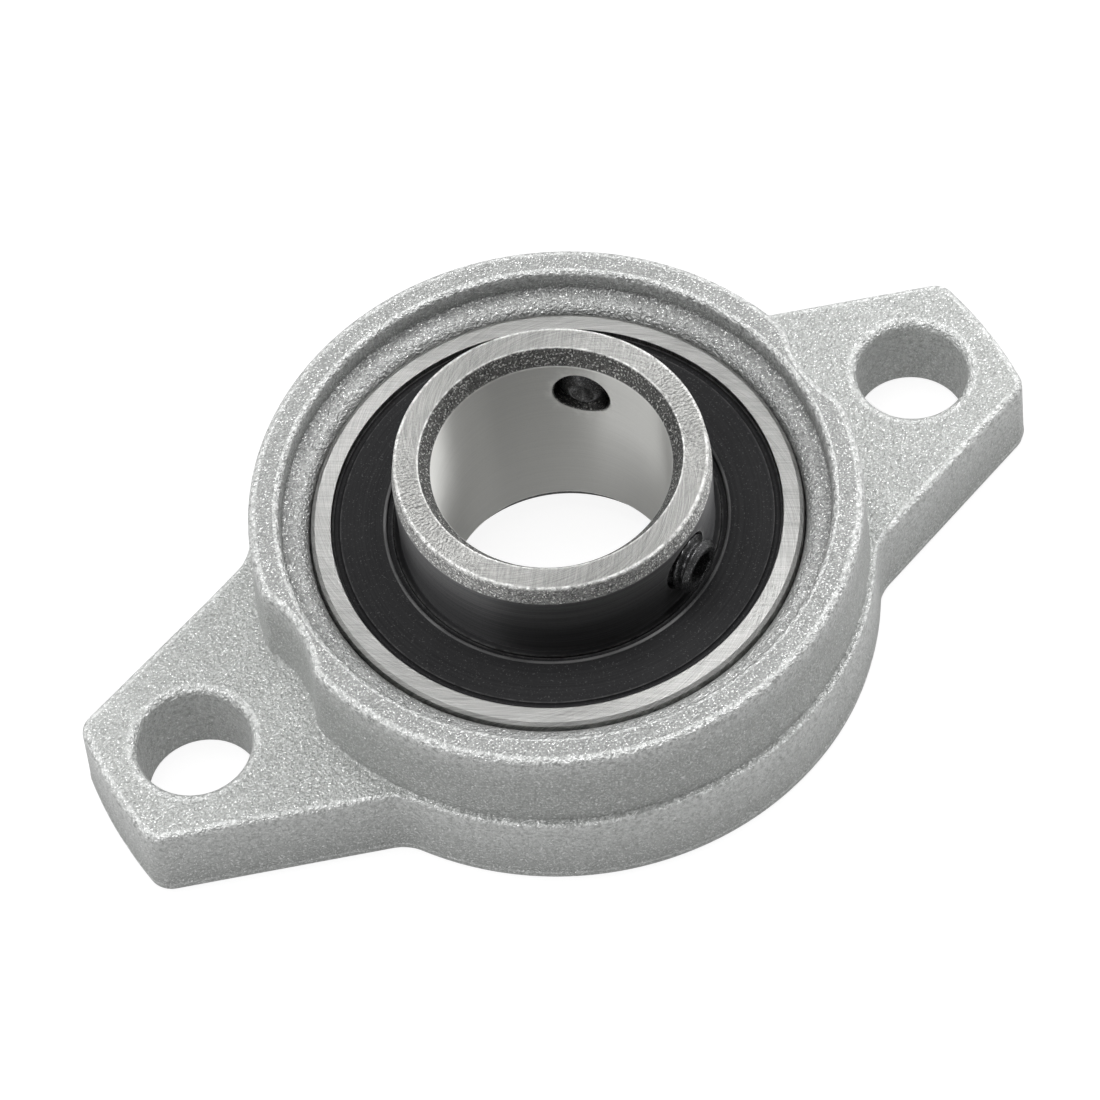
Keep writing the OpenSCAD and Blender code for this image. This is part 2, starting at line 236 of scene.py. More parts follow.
def arc_rows(cr, cz, r, a0, a1, steps, worn=0.0, hollow=False):
    """Rows along an arc given in radians, with both ends. A hollow one faces its own centre."""
    side = -1 if hollow else 1
    return [(cr + r * math.cos(a), cz + r * math.sin(a), side * math.cos(a), side * math.sin(a), worn)
            for a in np.linspace(a0, a1, steps + 1)]


print("a rounded corner takes", len(rounded([(1, 0, 0.1), (2, 0, 0.1), (2, 1, 0.1)])) // 3, "rows")

# %% [markdown]
# ## Turning a profile
# Each row of a profile becomes a ring of points round an upright line, and each ring is bridged to
# the next. A span can be left open, because the inner ring's two tall walls have holes in them and
# are made another way.

# %% Turning
round_angles = np.linspace(0, 2 * math.pi, 192, endpoint=False)


def spun(shell, rows, angles, x=0.0):
    """Rings round the upright line at x, and their normals, one for each row of a profile."""
    c, s = np.cos(angles), np.sin(angles)
    rings, normals = [], []
    for r, z, nr, nz, worn in rows:
        rings.append(shell.ring(np.column_stack([x + r * c, r * s, np.full(len(c), z)]), worn))
        normals.append(np.column_stack([nr * c, nr * s, np.full(len(c), nz)]))
    return rings, normals


def turned(shell, rows, angles, skip=()):
    """Turns a closed profile round the Z axis and returns the rings. Skipped spans are left open."""
    rings, normals = spun(shell, rows, angles)
    for k in range(len(rows)):
        if k not in skip:
            m = (k + 1) % len(rows)
            shell.bridge(rings[k], rings[m], normals[k], normals[m])
    return rings


print("turned pieces have", len(round_angles), "sides")

# %% [markdown]
# ## The outline of the flange
# Seen from above, the flange is a circle with two ears. Each ear has straight sides, rounded
# corners and a slightly bulging end, and a hollow leads from its side into the circle. One quarter
# is drawn from arcs and a line, each point with its outward normal, and is then mirrored twice.
# Moving every point along its normal gives the same outline further in or out, which is how the
# casting's draft and its edge roundings are made. Scaling the outline would be simpler, but it would
# draw in the ears more than the round middle.

# %% Flange outline
hole_x = 26.5
end_x, end_half, side_tilt = 32.8, 5.0, math.radians(19.8)
bulge_r, corner_r, root_r, round_r = 30.0, 1.7, 3.0, 20.4
side_steps = 16


def along_arc(cx, cy, r, n0, n1, steps, hollow=False):
    """Points of an arc with outward normals turning from angle n0 to n1, without the last one."""
    rows = []
    for k in range(steps):
        a = n0 + (n1 - n0) * k / steps
        side = -1 if hollow else 1
        rows.append((cx + side * r * math.cos(a), cy + side * r * math.sin(a), math.cos(a), math.sin(a)))
    return rows


def reach_circle(start, way, r):
    """How far from start, along a direction, a circle round the origin is met first."""
    half = start @ way
    root = math.sqrt(half * half - start @ start + r ** 2)
    return min(reach for reach in (-half - root, -half + root) if reach > 0)


def flange_quarter():
    normal = np.array([math.sin(side_tilt), math.cos(side_tilt)])
    inwards = np.array([-math.cos(side_tilt), math.sin(side_tilt)])
    bulge_centre = np.array([end_x - bulge_r, 0])
    start = np.array([end_x, end_half]) - corner_r * normal - bulge_centre
    corner = start + reach_circle(start, inwards, bulge_r - corner_r) * inwards
    corner_angle = math.atan2(corner[1], corner[0])
    corner = corner + bulge_centre
    start = np.array([end_x, end_half]) + root_r * normal
    root = start + reach_circle(start, inwards, round_r + root_r) * inwards
    side_angle, root_angle = math.pi / 2 - side_tilt, math.atan2(root[1], root[0])
    line_from, line_to = corner + corner_r * normal, root - root_r * normal
    rows = along_arc(*bulge_centre, bulge_r, 0, corner_angle, steps=8)
    rows += along_arc(*corner, corner_r, corner_angle, side_angle, steps=12)
    rows += [(*(line_from + (line_to - line_from) * k / side_steps), *normal) for k in range(side_steps)]
    rows += along_arc(*root, root_r, side_angle, root_angle, steps=14, hollow=True)
    rows += along_arc(0, 0, round_r, root_angle, math.pi / 2, steps=40)
    return rows + [(0, round_r, 0, 1)]


def four_fold(quarter):
    """The closed outline whose first quarter runs from the X axis to the Y axis."""
    q = np.array(quarter, float)
    return np.vstack([q, (q * [-1, 1, -1, 1])[::-1][1:], -q[1:], (q * [1, -1, 1, -1])[::-1][1:-1]])


flange_line = four_fold(flange_quarter())
flange_half_length, flange_half_width = flange_line[:, 0].max(), flange_line[:, 1].max()
print("flange outline:", len(flange_line), "points, half length", round(flange_half_length, 3),
      "half width", round(flange_half_width, 3), "mm")

# %% [markdown]
# ## The outline of the boss
# The boss is a round tower with a scallop cut into each side, which clears the head of the bolt
# beside it. The scallop is centred on the bolt hole, and its corners are rounded. It could be cut
# with a cylinder, but then its corners would stay sharp. The draft shrinks the circle and widens the
# scallops by the same amount, which is again the outline moved along its normals.

# %% Boss outline
boss_r, scallop_r, scallop_corner_r = 19.65, 7.85, 1.85


def boss_quarter():
    inner, outer = boss_r - scallop_corner_r, scallop_r + scallop_corner_r
    cx = (inner ** 2 - outer ** 2 + hole_x ** 2) / (2 * hole_x)
    cy = math.sqrt(inner ** 2 - cx ** 2)
    meet = math.atan2(-cy, hole_x - cx)
    rows = along_arc(hole_x, 0, scallop_r, 0, meet, steps=14, hollow=True)
    rows += along_arc(cx, cy, scallop_corner_r, meet, math.atan2(cy, cx), steps=12)
    rows += along_arc(0, 0, boss_r, math.atan2(cy, cx), math.pi / 2, steps=64)
    return rows + [(0, boss_r, 0, 1)]


boss_line = four_fold(boss_quarter())
boss_angles = np.arctan2(boss_line[:, 1], boss_line[:, 0])
print("boss outline:", len(boss_line), "points, scallop depth",
      round(boss_r - boss_line[0, 0], 3), "mm")

# %% [markdown]
# ## Rings on an outline
# The walls of the casting follow the two outlines at changing heights. A ring is an outline moved
# inwards and lifted, and its normals lean by the wall's own tilt. An edge is a short run of such
# rings, whose size may differ from point to point.

# %% Rings on an outline
def outline_ring(shell, line, inset, z, tilt, worn=0.0):
    """A ring on an outline moved inwards, and its normals, tilted up by an angle."""
    inset, z = np.broadcast_to(inset, len(line)), np.broadcast_to(z, len(line))
    ring = shell.ring(np.column_stack([line[:, :2] - line[:, 2:] * inset[:, None], z]), worn)
    normals = np.column_stack([line[:, 2:] * math.cos(tilt), np.full(len(line), math.sin(tilt))])
    return ring, normals


def rounded_edge(shell, line, inset, z, size, tilt_0, tilt_1, steps, worn):
    """Rings round a convex edge of that size, from one tilt of its normals to another."""
    rings = []
    for k in range(steps + 1):
        tilt = tilt_0 + (tilt_1 - tilt_0) * k / steps
        rings.append(outline_ring(shell, line, inset + size * (1 - math.cos(tilt)),
                                  z + size * math.sin(tilt), tilt, worn))
    return rings


print("an edge of five steps has", len(rounded_edge(Shell(), flange_line, 0, 0, 1, 0, 1, 5, 1)), "rings")

# %% [markdown]
# ## The wall of the flange
# The housing is one closed skin that starts at the bottom edge of the flange. The wall leans
# inwards by the draft that lets a casting leave its die. Low on it runs a faint ridge, where the two
# halves of the die met. It is too thin for a shape of its own, so it is a few close rings in the
# wall. The top edge is rounder on the ears, which get the knocks, than beside the boss.

# %% Flange wall
plate_z, flange_draft = 6.2, 0.3
flange_lean = math.atan(flange_draft / plate_z)
foot_inset, foot_round = 0.07, 0.4
side_round, ear_round_more, ear_blend = 0.23, 0.2, 2.5
flange_draft_left, flat_guard, least_guard = 0.01, 0.12, 0.004
parting_rows = ((0.7, 0.07, 0, 0.0), (0.74, 0.07, -0.9, 0.4), (0.78, 0.012, -0.7, 0.9),
                (0.83, 0.008, 0.2, 0.9), (0.9, 0.03, 0.5, 0.5), (1.0, 0.048, flange_lean, 0.0))


def flange_wall(shell):
    """Adds the wall up to the flat top and returns its lowest and its highest ring."""
    on_ear = np.clip((np.hypot(flange_line[:, 0], flange_line[:, 1]) - round_r) / ear_blend, 0, 1)
    top_round = side_round + ear_round_more * on_ear
    top_inset = flange_draft - flange_draft_left
    wall = rounded_edge(shell, flange_line, foot_inset, foot_round, foot_round, -math.pi / 2, 0, 5, 0.3)
    wall += [outline_ring(shell, flange_line, inset, z, tilt, worn) for z, inset, tilt, worn in parting_rows]
    wall += rounded_edge(shell, flange_line, top_inset, plate_z - top_round, top_round,
                         flange_lean, math.pi / 2, 6, 1.0)
    guard = least_guard + flat_guard * on_ear
    wall.append(outline_ring(shell, flange_line, top_inset + top_round + guard, plate_z, math.pi / 2))
    shell.loft([ring for ring, _ in wall], [normals for _, normals in wall])
    return wall[0][0], wall[-1][0]


print("the flange's wall leans by", round(math.degrees(flange_lean), 2), "degrees")

# %% [markdown]
# ## The wall of the boss
# The boss grows out of the flange through a small fillet, which is larger in the scallops. It leans
# inwards by its own draft and ends in a rounded rim. Where the scallops cut into the rim, the flat
# on top of it is narrow, so the guard ring beside the rounding comes closer there.

# %% Boss wall
rim_z, boss_draft, boss_draft_left, rim_round = 12.6, 0.35, 0.03, 0.45
boss_foot_round, scallop_foot_more, foot_steps = 0.2, 0.15, 5
scallop_from_x, scallop_blend, scallop_edge = 17.5, 2, 0.2
wall_from, wall_to = 0.4, 0.5
narrow_from_r, narrow_blend, narrow_guard, rim_guard_more = 18.7, 0.5, 0.04, 0.08


def boss_wall(shell):
    """Adds the wall up to the rim and returns its lowest ring, its highest ring and that one's normals."""
    height = rim_z - plate_z
    lean = math.atan(boss_draft / height)
    far = np.hypot(boss_line[:, 0], boss_line[:, 1])
    in_scallop = np.clip((np.abs(boss_line[:, 0]) - scallop_from_x) / scallop_blend, 0, 1)
    in_scallop = in_scallop * (far < boss_r - scallop_edge)
    foot = boss_foot_round + scallop_foot_more * in_scallop
    tower = []
    for k in range(foot_steps + 1):
        tilt = math.pi / 2 + (lean - math.pi / 2) * k / foot_steps
        tower.append(outline_ring(shell, boss_line, -foot * (1 - math.cos(tilt)),
                                  plate_z + foot * (1 - math.sin(tilt)), tilt))
    for way_up in (0.33, 0.66):
        z = plate_z + wall_from + way_up * (height - wall_from - wall_to)
        tower.append(outline_ring(shell, boss_line, boss_draft * (z - plate_z) / height, z, lean))
    rim_inset = boss_draft - boss_draft_left
    tower += rounded_edge(shell, boss_line, rim_inset, rim_z - rim_round, rim_round,
                          lean, math.pi / 2, 7, 1.0)
    guard = narrow_guard + rim_guard_more * np.clip((far - narrow_from_r) / narrow_blend, 0, 1)
    tower.append(outline_ring(shell, boss_line, rim_inset + rim_round + guard, rim_z, math.pi / 2))
    shell.loft([ring for ring, _ in tower], [normals for _, normals in tower])
    return tower[0][0], *tower[-1]


print("the boss stands", round(rim_z - plate_z, 2), "mm above the flange")

# %% [markdown]
# ## The inside of the boss
# Inside its rim the boss drops to a step, rolls over the step's shoulder and follows the ball-shaped
# seat down to the round opening at the back. All of this is turned, so it is one open profile of
# arcs. It could be spun in even steps, but it is spun at the angles of the boss outline instead, so
# that its first ring matches the rim point by point.

# %% Inside of the boss
step_z, seat_top_z, seat_mid_z = 10.95, 10.0, 6.7
seat_r, back_r, rim_inner_r = 16.03, 15.0, 17.35
rim_inner_round, step_round, back_round = 0.38, 0.25, 0.25
shoulder_quarters = 1.96


def inside_rows():
    """The open profile from the rim down to the back, as rows for a turning."""
    shoulder = step_z - seat_top_z
    edge_r = math.sqrt(seat_r ** 2 - (seat_top_z - seat_mid_z) ** 2)
    seat_from, seat_to = math.asin((seat_top_z - seat_mid_z) / seat_r), -math.acos(back_r / seat_r)
    quarter = math.pi / 2
    rim_r = rim_inner_r + rim_inner_round
    rows = [(rim_r + narrow_guard, rim_z, 0, 1, 0.0)]
    rows += arc_rows(rim_r, rim_z - rim_inner_round, rim_inner_round, quarter, 2 * quarter, 6, worn=1.0)
    rows += arc_rows(rim_inner_r - step_round, step_z + step_round, step_round, 0, -quarter, 5, hollow=True)
    rows += arc_rows(edge_r + shoulder, seat_top_z, shoulder, quarter, shoulder_quarters * quarter, 8,
                     worn=0.4)
    rows += arc_rows(0, seat_mid_z, seat_r, seat_from, seat_to, 21, hollow=True)
    rows.append((back_r, back_round, -1, 0, 0.0))
    rows += arc_rows(back_r + back_round, back_round, back_round, 2 * quarter, 3 * quarter, 4, worn=0.6)[1:]
    return rows


print("the inside of the boss has", len(inside_rows()), "rings")

# %% [markdown]
# ## The bolt holes and the finished housing
# Each bolt hole is a short turning whose two mouths are rounded by the die. Last, the flat top of the
# flange is filled between its edge, the foot of the boss and the two holes, and the flat back is
# filled in the same way, which closes the skin. The hole and the flats share their rings of points,
# so no seam can open between them.

# %% Bolt holes and housing
hole_r, hole_mouth_round, hole_back_round = 3.6, 0.6, 0.4
hole_angles = np.linspace(0, 2 * math.pi, 80, endpoint=False)


def bolt_hole(shell, x):
    """Adds the wall of a bolt hole and returns its highest and its lowest ring."""
    mouth, back, quarter = hole_mouth_round, hole_back_round, math.pi / 2
    rows = [(hole_r + mouth + flat_guard, plate_z, 0, 1, 0.0)]
    rows += arc_rows(hole_r + mouth, plate_z - mouth, mouth, quarter, 2 * quarter, 7, worn=0.8)
    rows += arc_rows(hole_r + back, back, back, 2 * quarter, 3 * quarter, 5, worn=0.3)
    rings, normals = spun(shell, rows, hole_angles, x)
    shell.loft(rings, normals)
    return rings[0], rings[-1]


def make_housing():
    shell = Shell()
    bottom, top = flange_wall(shell)
    foot, rim, rim_normals = boss_wall(shell)
    rings, normals = spun(shell, inside_rows(), boss_angles)
    shell.bridge(rim, rings[0], rim_normals, normals[0])
    shell.loft(rings, normals)
    holes = [bolt_hole(shell, side * hole_x) for side in (-1, 1)]
    shell.flat([top, foot] + [mouth for mouth, _ in holes], up=True)
    shell.flat([bottom, rings[-1]] + [back for _, back in holes], up=False)
    return shell.mesh("housing_skin")


housing_piece = show("housing_casting", make_housing())

# %% [markdown]
# ## The outer ring
# A hardened steel ring, turned and ground: its outside is a band of a sphere, and its bore has a
# groove for the balls and a seat for a seal at each end. Only the flat face and a sliver of the
# sphere show. A ball cut flat and bored would give the same ring. One profile, whose lower half
# mirrors the upper one, gives it in one go, with tiny roundings that catch the light.

# %% Outer ring
ring_z, ring_half, sphere_r = 6.7, 4.0, 16
ball_r, pitch_r, groove_play = 2.38, 11.75, 0.02
shoulder_r, seal_seat_r, seal_seat_z = 13.25, 14.25, 3.05
sphere_edge_in, face_edge_in = 0.15, 0.2
groove_r, groove_far = 0.52 * 2 * ball_r, pitch_r + ball_r + groove_play


def make_outer_ring():
    edge = math.asin((ring_half - sphere_edge_in) / sphere_r)
    face_r = math.sqrt(sphere_r ** 2 - ring_half ** 2) - face_edge_in
    groove = math.acos((shoulder_r - groove_far + groove_r) / groove_r)
    upper = [(sphere_r * math.cos(edge), sphere_r * math.sin(edge), 0.04), (face_r, ring_half, 0.05)]
    upper += [(seal_seat_r, ring_half, 0.06), (seal_seat_r, seal_seat_z, 0.05)]
    upper += [(shoulder_r, seal_seat_z, 0.05), (shoulder_r, groove_r * math.sin(groove), 0.04)]
    edge, groove = math.degrees(edge), math.degrees(groove)
    corners = arc_corners(0, 0, sphere_r, -edge, edge, 24) + upper
    corners += arc_corners(groove_far - groove_r, 0, groove_r, groove, -groove, 16)
    corners += [(r, -z, rounding) for r, z, rounding in upper[::-1]]
    shell = Shell()
    turned(shell, rounded([(r, z + ring_z, rounding) for r, z, rounding in corners], 3), round_angles)
    return shell.mesh("outer_ring_skin")


outer_ring_piece = show("outer_ring_turned", make_outer_ring())

# %% [markdown]
# ## Walls with round holes
# The nose's wall and the bore are cylinders, and the threaded holes of the set screws run through
# both. Cutting them with a Boolean modifier would leave creases on the gloss. So each cylinder is
# unrolled flat, triangulated round the holes and rolled up again, and it stays truly round right up
# to the edges of the holes. Rows of points between its two ends keep the triangles small.

# %% Pierced walls
bore_r, nose_r = 7.5, 9.95
screw_z, screw_hole_r = 13.25, 1.84
screw_angles = (-64.0, 46.4)
whole_turn, wall_rows, hole_clearance = 2 * math.pi, 13, 1.16


def clear_of_holes(radius, a, z):
    """True where a spot on a cylinder is well outside both screw holes."""
    for angle in screw_angles:
        across = ((a - math.radians(angle)) + math.pi) % whole_turn - math.pi
        if math.hypot(across * radius, z - screw_z) <= screw_hole_r * hole_clearance:
            return False
    return True


def pierced_wall(shell, radius, low, high, low_z, high_z, loops, outwards):
    """A cylinder's wall between two rings, with holes whose loops are (ids, angles, heights)."""
    order = np.argsort((round_angles + math.pi) % whole_turn)
    turns = np.concatenate([(round_angles[order] + math.pi) % whole_turn, [whole_turn]])
    spots, ids, borders = [], [], []
    for ring, z in ((low, low_z), (high, high_z)):
        spots += [(a * radius, z) for a in turns]
        ids += list(ring[order]) + [ring[order][0]]
    n = len(turns)
    borders.append(list(range(n)) + list(range(2 * n - 1, n - 1, -1)))
    for z in np.linspace(low_z, high_z, wall_rows)[1:-1]:
        free = [a for a in turns[:-1] if clear_of_holes(radius, a - math.pi, z)]
        ring = shell.ring([(radius * math.cos(a - math.pi), radius * math.sin(a - math.pi), z) for a in free])
        spots += [(a * radius, z) for a in free] + [(whole_turn * radius, z)]
        ids += list(ring) + [ring[0]]
    for loop_ids, loop_angles, loop_z in loops:
        borders.append(list(range(len(spots), len(spots) + len(loop_ids))))
        spots += [(((a + math.pi) % whole_turn) * radius, z) for a, z in zip(loop_angles, loop_z)]
        ids += list(loop_ids)
    side = 1 if outwards else -1
    for tri in filled(spots, borders, ids):
        tri = tri if outwards else tri[::-1]
        shell.faces.append(tri)
        for i in tri:
            x, y, _ = shell.points[i]
            shell.normals.append((side * x / radius, side * y / radius, 0))


print("screw holes at", screw_angles, "degrees,", screw_z, "mm above the mounting face")

# %% [markdown]
# ## The threaded holes
# A round hole meets a cylinder in a saddle-shaped loop. The tunnel of a hole has a chamfer at the
# nose's wall and a smaller one at the bore, and the loops at its two ends are handed to the walls.
# The real holes are threaded, but a screw fills each of them, so their walls are left plain.

# %% Screw holes
mouth_chamfer, lip_chamfer = 0.14, 0.1
tunnel_angles = np.linspace(0, 2 * math.pi, 56, endpoint=False)


def hole_loop(radius, a, hole):
    """Points where a hole along angle a meets a cylinder, with their angles and heights on it."""
    across, up = hole * np.cos(tunnel_angles), hole * np.sin(tunnel_angles)
    out = np.sqrt(radius ** 2 - across ** 2)
    x, y = out * math.cos(a) - across * math.sin(a), out * math.sin(a) + across * math.cos(a)
    return np.column_stack([x, y, screw_z + up]), np.arcsin(across / radius) + a, screw_z + up


def screw_hole(shell, a):
    """Adds the tunnel of a hole along angle a and returns its loops on the nose and on the bore."""
    way = np.array([math.cos(a), math.sin(a), 0])
    mouth, mouth_turns, mouth_z = hole_loop(nose_r, a, screw_hole_r + mouth_chamfer)
    throat = hole_loop(nose_r, a, screw_hole_r)[0] - mouth_chamfer * way
    inner = hole_loop(bore_r, a, screw_hole_r)[0] + lip_chamfer * way
    lip, lip_turns, lip_z = hole_loop(bore_r, a, screw_hole_r + lip_chamfer)
    worn_loops = ((mouth, 0.15), (throat, 0.0), (inner, 0.0), (lip, 0.6))
    loops = [shell.ring(points, worn) for points, worn in worn_loops]
    aim = np.array([[math.sin(a) * math.cos(t), -math.cos(a) * math.cos(t), -math.sin(t)]
                    for t in tunnel_angles])
    for k, normals in enumerate(((aim + way) / math.sqrt(2), aim, (aim - way) / math.sqrt(2))):
        shell.bridge(loops[k], loops[k + 1], normals, normals)
    return (loops[0], mouth_turns, mouth_z), (loops[3], lip_turns, lip_z)


print("a screw hole is", round(nose_r - bore_r, 2), "mm long")

# %% [markdown]
# ## The inner ring
# The inner ring is longer than the outer one: its nose stands out in front and carries the two
# threaded holes. It is turned like the outer ring, but for its two tall walls, which are pierced. The
# land beside the groove is hardly worn, as nothing touches it, and the chamfer at the bore's mouth is
# wide, because the shaft enters there.

# %% Inner ring
land_r, land_end, tall_span = 10.35, 3.59, 4
nose_front, nose_back, collar_z = 17.05, 0.55, 15.65
bore_chamfer, front_chamfer_depth, back_chamfer_depth = 0.73, 1.07, 1.35
nose_edge, nose_edge_back, nose_edge_front = 0.2, 0.25, 0.02


def inner_ring_corners():
    groove_near = pitch_r - ball_r - groove_play
    half = math.degrees(math.acos((groove_near + groove_r - land_r) / groove_r))
    groove_half_z = groove_r * math.sin(math.radians(half))
    corners = [(nose_r - nose_edge, nose_back, 0.08), (nose_r, nose_back + nose_edge_back, 0.1)]
    corners += [(nose_r, ring_z - land_end, 0.05), (land_r, ring_z - land_end, 0.05, 0.3)]
    corners += [(land_r, ring_z - groove_half_z, 0.04)]
    corners += arc_corners(groove_near + groove_r, ring_z, groove_r, 180 + half, 180 - half, 16)
    corners += [(land_r, ring_z + groove_half_z, 0.04)]
    corners += [(land_r, ring_z + land_end, 0.05, 0.05), (nose_r, ring_z + land_end, 0.05)]
    corners += [(nose_r, collar_z, 0.12, 0.2), (nose_r - nose_edge, nose_front - nose_edge_front, 0.14)]
    corners += [(bore_r + bore_chamfer, nose_front, 0.03)]
    corners += [(bore_r, nose_front - front_chamfer_depth, 0.08, 0.3)]
    corners += [(bore_r, nose_back + back_chamfer_depth, 0.08)]
    return corners + [(bore_r + bore_chamfer, nose_back, 0.08)]


def make_inner_ring():
    rows = rounded(inner_ring_corners(), 4)
    tall = [k for k in range(len(rows)) if abs(rows[(k + 1) % len(rows)][1] - rows[k][1]) > tall_span]
    shell = Shell()
    rings = turned(shell, rows, round_angles, skip=tall)
    holes = [screw_hole(shell, math.radians(angle)) for angle in screw_angles]
    for k in tall:
        m = (k + 1) % len(rows)
        upwards = rows[m][1] > rows[k][1]
        low, high = (k, m) if upwards else (m, k)
        loops = [mouth if upwards else lip for mouth, lip in holes]
        pierced_wall(shell, rows[k][0], rings[low], rings[high], rows[low][1], rows[high][1], loops, upwards)
    return shell.mesh("inner_ring_skin")


inner_ring_piece = show("inner_ring_turned", make_inner_ring())

# %% [markdown]
# ## The two seals
# A seal is a disc of black rubber over a steel washer. It has a raised bead beside the nose, a groove
# near its outside that lets it flex, and a thin lip behind the bead that nearly touches the inner
# ring. Bead and groove could be two tori, but as arcs of one profile they leave no seam. The rear
# seal is the front one mirrored, with its corners listed backwards so that it isn't inside out.

# %% Seals
seal_back, seal_front, lip_thickness = 3.25, 3.65, 0.2
seal_outer_r, seal_bore_r, lip_r = 14.24, 10.75, 10.38
bead_r, seal_groove_r = 0.12, 0.2


def seal_corners():
    groove_x = seal_outer_r - seal_groove_r - bead_r
    corners = [(lip_r, seal_back, 0.03), (seal_outer_r, seal_back, 0.05), (seal_outer_r, seal_front, 0.05)]
    corners += [(groove_x + seal_groove_r, seal_front, 0.02)]
    corners += arc_corners(groove_x, seal_front, seal_groove_r, 0, -180, 10)
    corners += [(groove_x - seal_groove_r, seal_front, 0.02), (seal_bore_r + 2 * bead_r, seal_front, 0.03)]
    corners += arc_corners(seal_bore_r + bead_r, seal_front, bead_r, 0, 180, 10)
    corners += [(seal_bore_r, seal_front, 0), (seal_bore_r, seal_back + lip_thickness, 0.03)]
    return corners + [(lip_r, seal_back + lip_thickness, 0.04)]


def make_seal(name, side):
    corners = [(r, ring_z + side * z, rounding) for r, z, rounding in seal_corners()]
    shell = Shell()
    turned(shell, rounded(corners[::side], 4), round_angles)
    return show(name, shell.mesh(name + "_skin"))


front_seal_piece = make_seal("front_seal_moulded", 1)
rear_seal_piece = make_seal("rear_seal_moulded", -1)

# %% [markdown]
# ## Nodes from a script
# Finishes and trees of Geometry Nodes are both built from nodes and links. They could be laid out by
# hand in the node editor, but a script can be read, changed and run again. Three small helpers each
# write a node and its links in one line, so that the script reads like the sum that it stands for.

# %% Helpers for nodes
def add(tree, kind, inputs=None, **settings):
    """Adds a node. An input is a value or another node's output."""
    node = tree.nodes.new(kind)
    for key, value in settings.items():
        setattr(node, key, value)
    for key, value in (inputs or {}).items():
        if isinstance(value, bpy.types.NodeSocket):
            tree.links.new(value, node.inputs[key])
        else:
            node.inputs[key].default_value = value
    return node


def maths(tree, operation, a, b=0.0):
    """The output of a Math node."""
    return add(tree, "ShaderNodeMath", {0: a, 1: b}, operation=operation).outputs[0]


def xyz(tree, **parts):
    """The output of a Combine XYZ node. A part that isn't named is 0."""
    return add(tree, "ShaderNodeCombineXYZ", parts).outputs[0]


print("helpers for nodes ready")

# %% [markdown]
# ## Helpers for finishes
# A finish could be a picture wrapped round the piece, but a picture has seams and blurs close up.
# Here the finishes are built from a few effects, each a node group with named inputs. Distances are
# in metres on the piece itself, so a grain of 0.2 mm stays 0.2 mm. A group only puts out masks and
# heights. The shader stays in each material.

# %% Helpers for finishes
def effect(name, inputs, outputs):
    """An empty shader group with a Vector input, named numbers, and named numbers coming out."""
    tree = bpy.data.node_groups.new(name, "ShaderNodeTree")
    tree.interface.new_socket("Vector", in_out="INPUT", socket_type="NodeSocketVector")
    for label, value in inputs.items():
        tree.interface.new_socket(label, in_out="INPUT", socket_type="NodeSocketFloat").default_value = value
    for label in outputs:
        tree.interface.new_socket(label, in_out="OUTPUT", socket_type="NodeSocketFloat")
    return tree, add(tree, "NodeGroupInput").outputs, add(tree, "NodeGroupOutput").inputs


def use(tree, group, inputs):
    """Places an effect in a material and returns its outputs."""
    return add(tree, "ShaderNodeGroup", inputs, node_tree=group).outputs


def spread(tree, value, low, high, to_low=0.0, to_high=1.0):
    """Maps a number from one range to another, held between its ends."""
    return add(tree, "ShaderNodeMapRange", {"Value": value, "From Min": low, "From Max": high,
                                            "To Min": to_low, "To Max": to_high}).outputs[0]


def scaled(tree, vector, factor):
    return add(tree, "ShaderNodeVectorMath", {0: vector, "Scale": factor}, operation="SCALE").outputs[0]


def shrunk(tree, vector, size):
    """A vector counted in steps of a size."""
    return scaled(tree, vector, maths(tree, "DIVIDE", 1.0, size))


def noise(tree, vector, detail=2.0, roughness=0.5, scale=1.0):
    return add(tree, "ShaderNodeTexNoise", {"Vector": vector, "Scale": scale, "Detail": detail,
                                            "Roughness": roughness}).outputs["Fac"]


def share(tree, a, b, share_of_a):
    """A sum of two values by their shares, which add up to 1."""
    part_a = maths(tree, "MULTIPLY", a, share_of_a)
    return maths(tree, "ADD", part_a, maths(tree, "MULTIPLY", b, 1 - share_of_a))


def blend(tree, factor, a, b):
    """Mixes two colours by a mask."""
    node = add(tree, "ShaderNodeMix", {"Factor": factor}, data_type="RGBA")
    for key, value in ((6, a), (7, b)):
        if isinstance(value, bpy.types.NodeSocket):
            tree.links.new(value, node.inputs[key])
        else:
            node.inputs[key].default_value = (*value, 1)
    return node.outputs[2]


print("helpers for finishes ready")

# %% [markdown]
# ## Grain and specks
# A blasted surface is a field of tiny dents: a noise at the grain's size gives their height, a finer
# one picks the few facets that flash, and a very wide one varies the tone. The zinc, the rough skins of
# the inner ring and the screws paint a glint into the colour of the facets that flash. Specks of dirt
# are the rare peaks of one more noise.

# %% Grain and specks
def make_grain():
    tree, given, out = effect("blasted_grain", {"Grain Size": 0.0002}, ["Height", "Flash", "Tone"])
    steps = shrunk(tree, given["Vector"], given["Grain Size"])
    dents = noise(tree, steps, 2.0, 0.55, scale=1.0)
    swells = noise(tree, steps, 1.0, 0.5, scale=0.37)
    tree.links.new(spread(tree, share(tree, dents, swells, 0.72), 0.3, 0.7), out["Height"])
    tree.links.new(spread(tree, noise(tree, steps, 1.0, 0.5, scale=1.35), 0.56, 0.7), out["Flash"])
    tree.links.new(spread(tree, noise(tree, steps, 2.0, 0.6, scale=0.022), 0.3, 0.7), out["Tone"])
    return tree


def make_specks():
    tree, given, out = effect("fine_specks", {"Speck Size": 0.0001, "Rarity": 0.62}, ["Mask"])
    grains = noise(tree, shrunk(tree, given["Vector"], given["Speck Size"]), 1.0, 0.5)
    sure = maths(tree, "ADD", given["Rarity"], 0.06)
    tree.links.new(spread(tree, grains, given["Rarity"], sure), out["Mask"])
    return tree


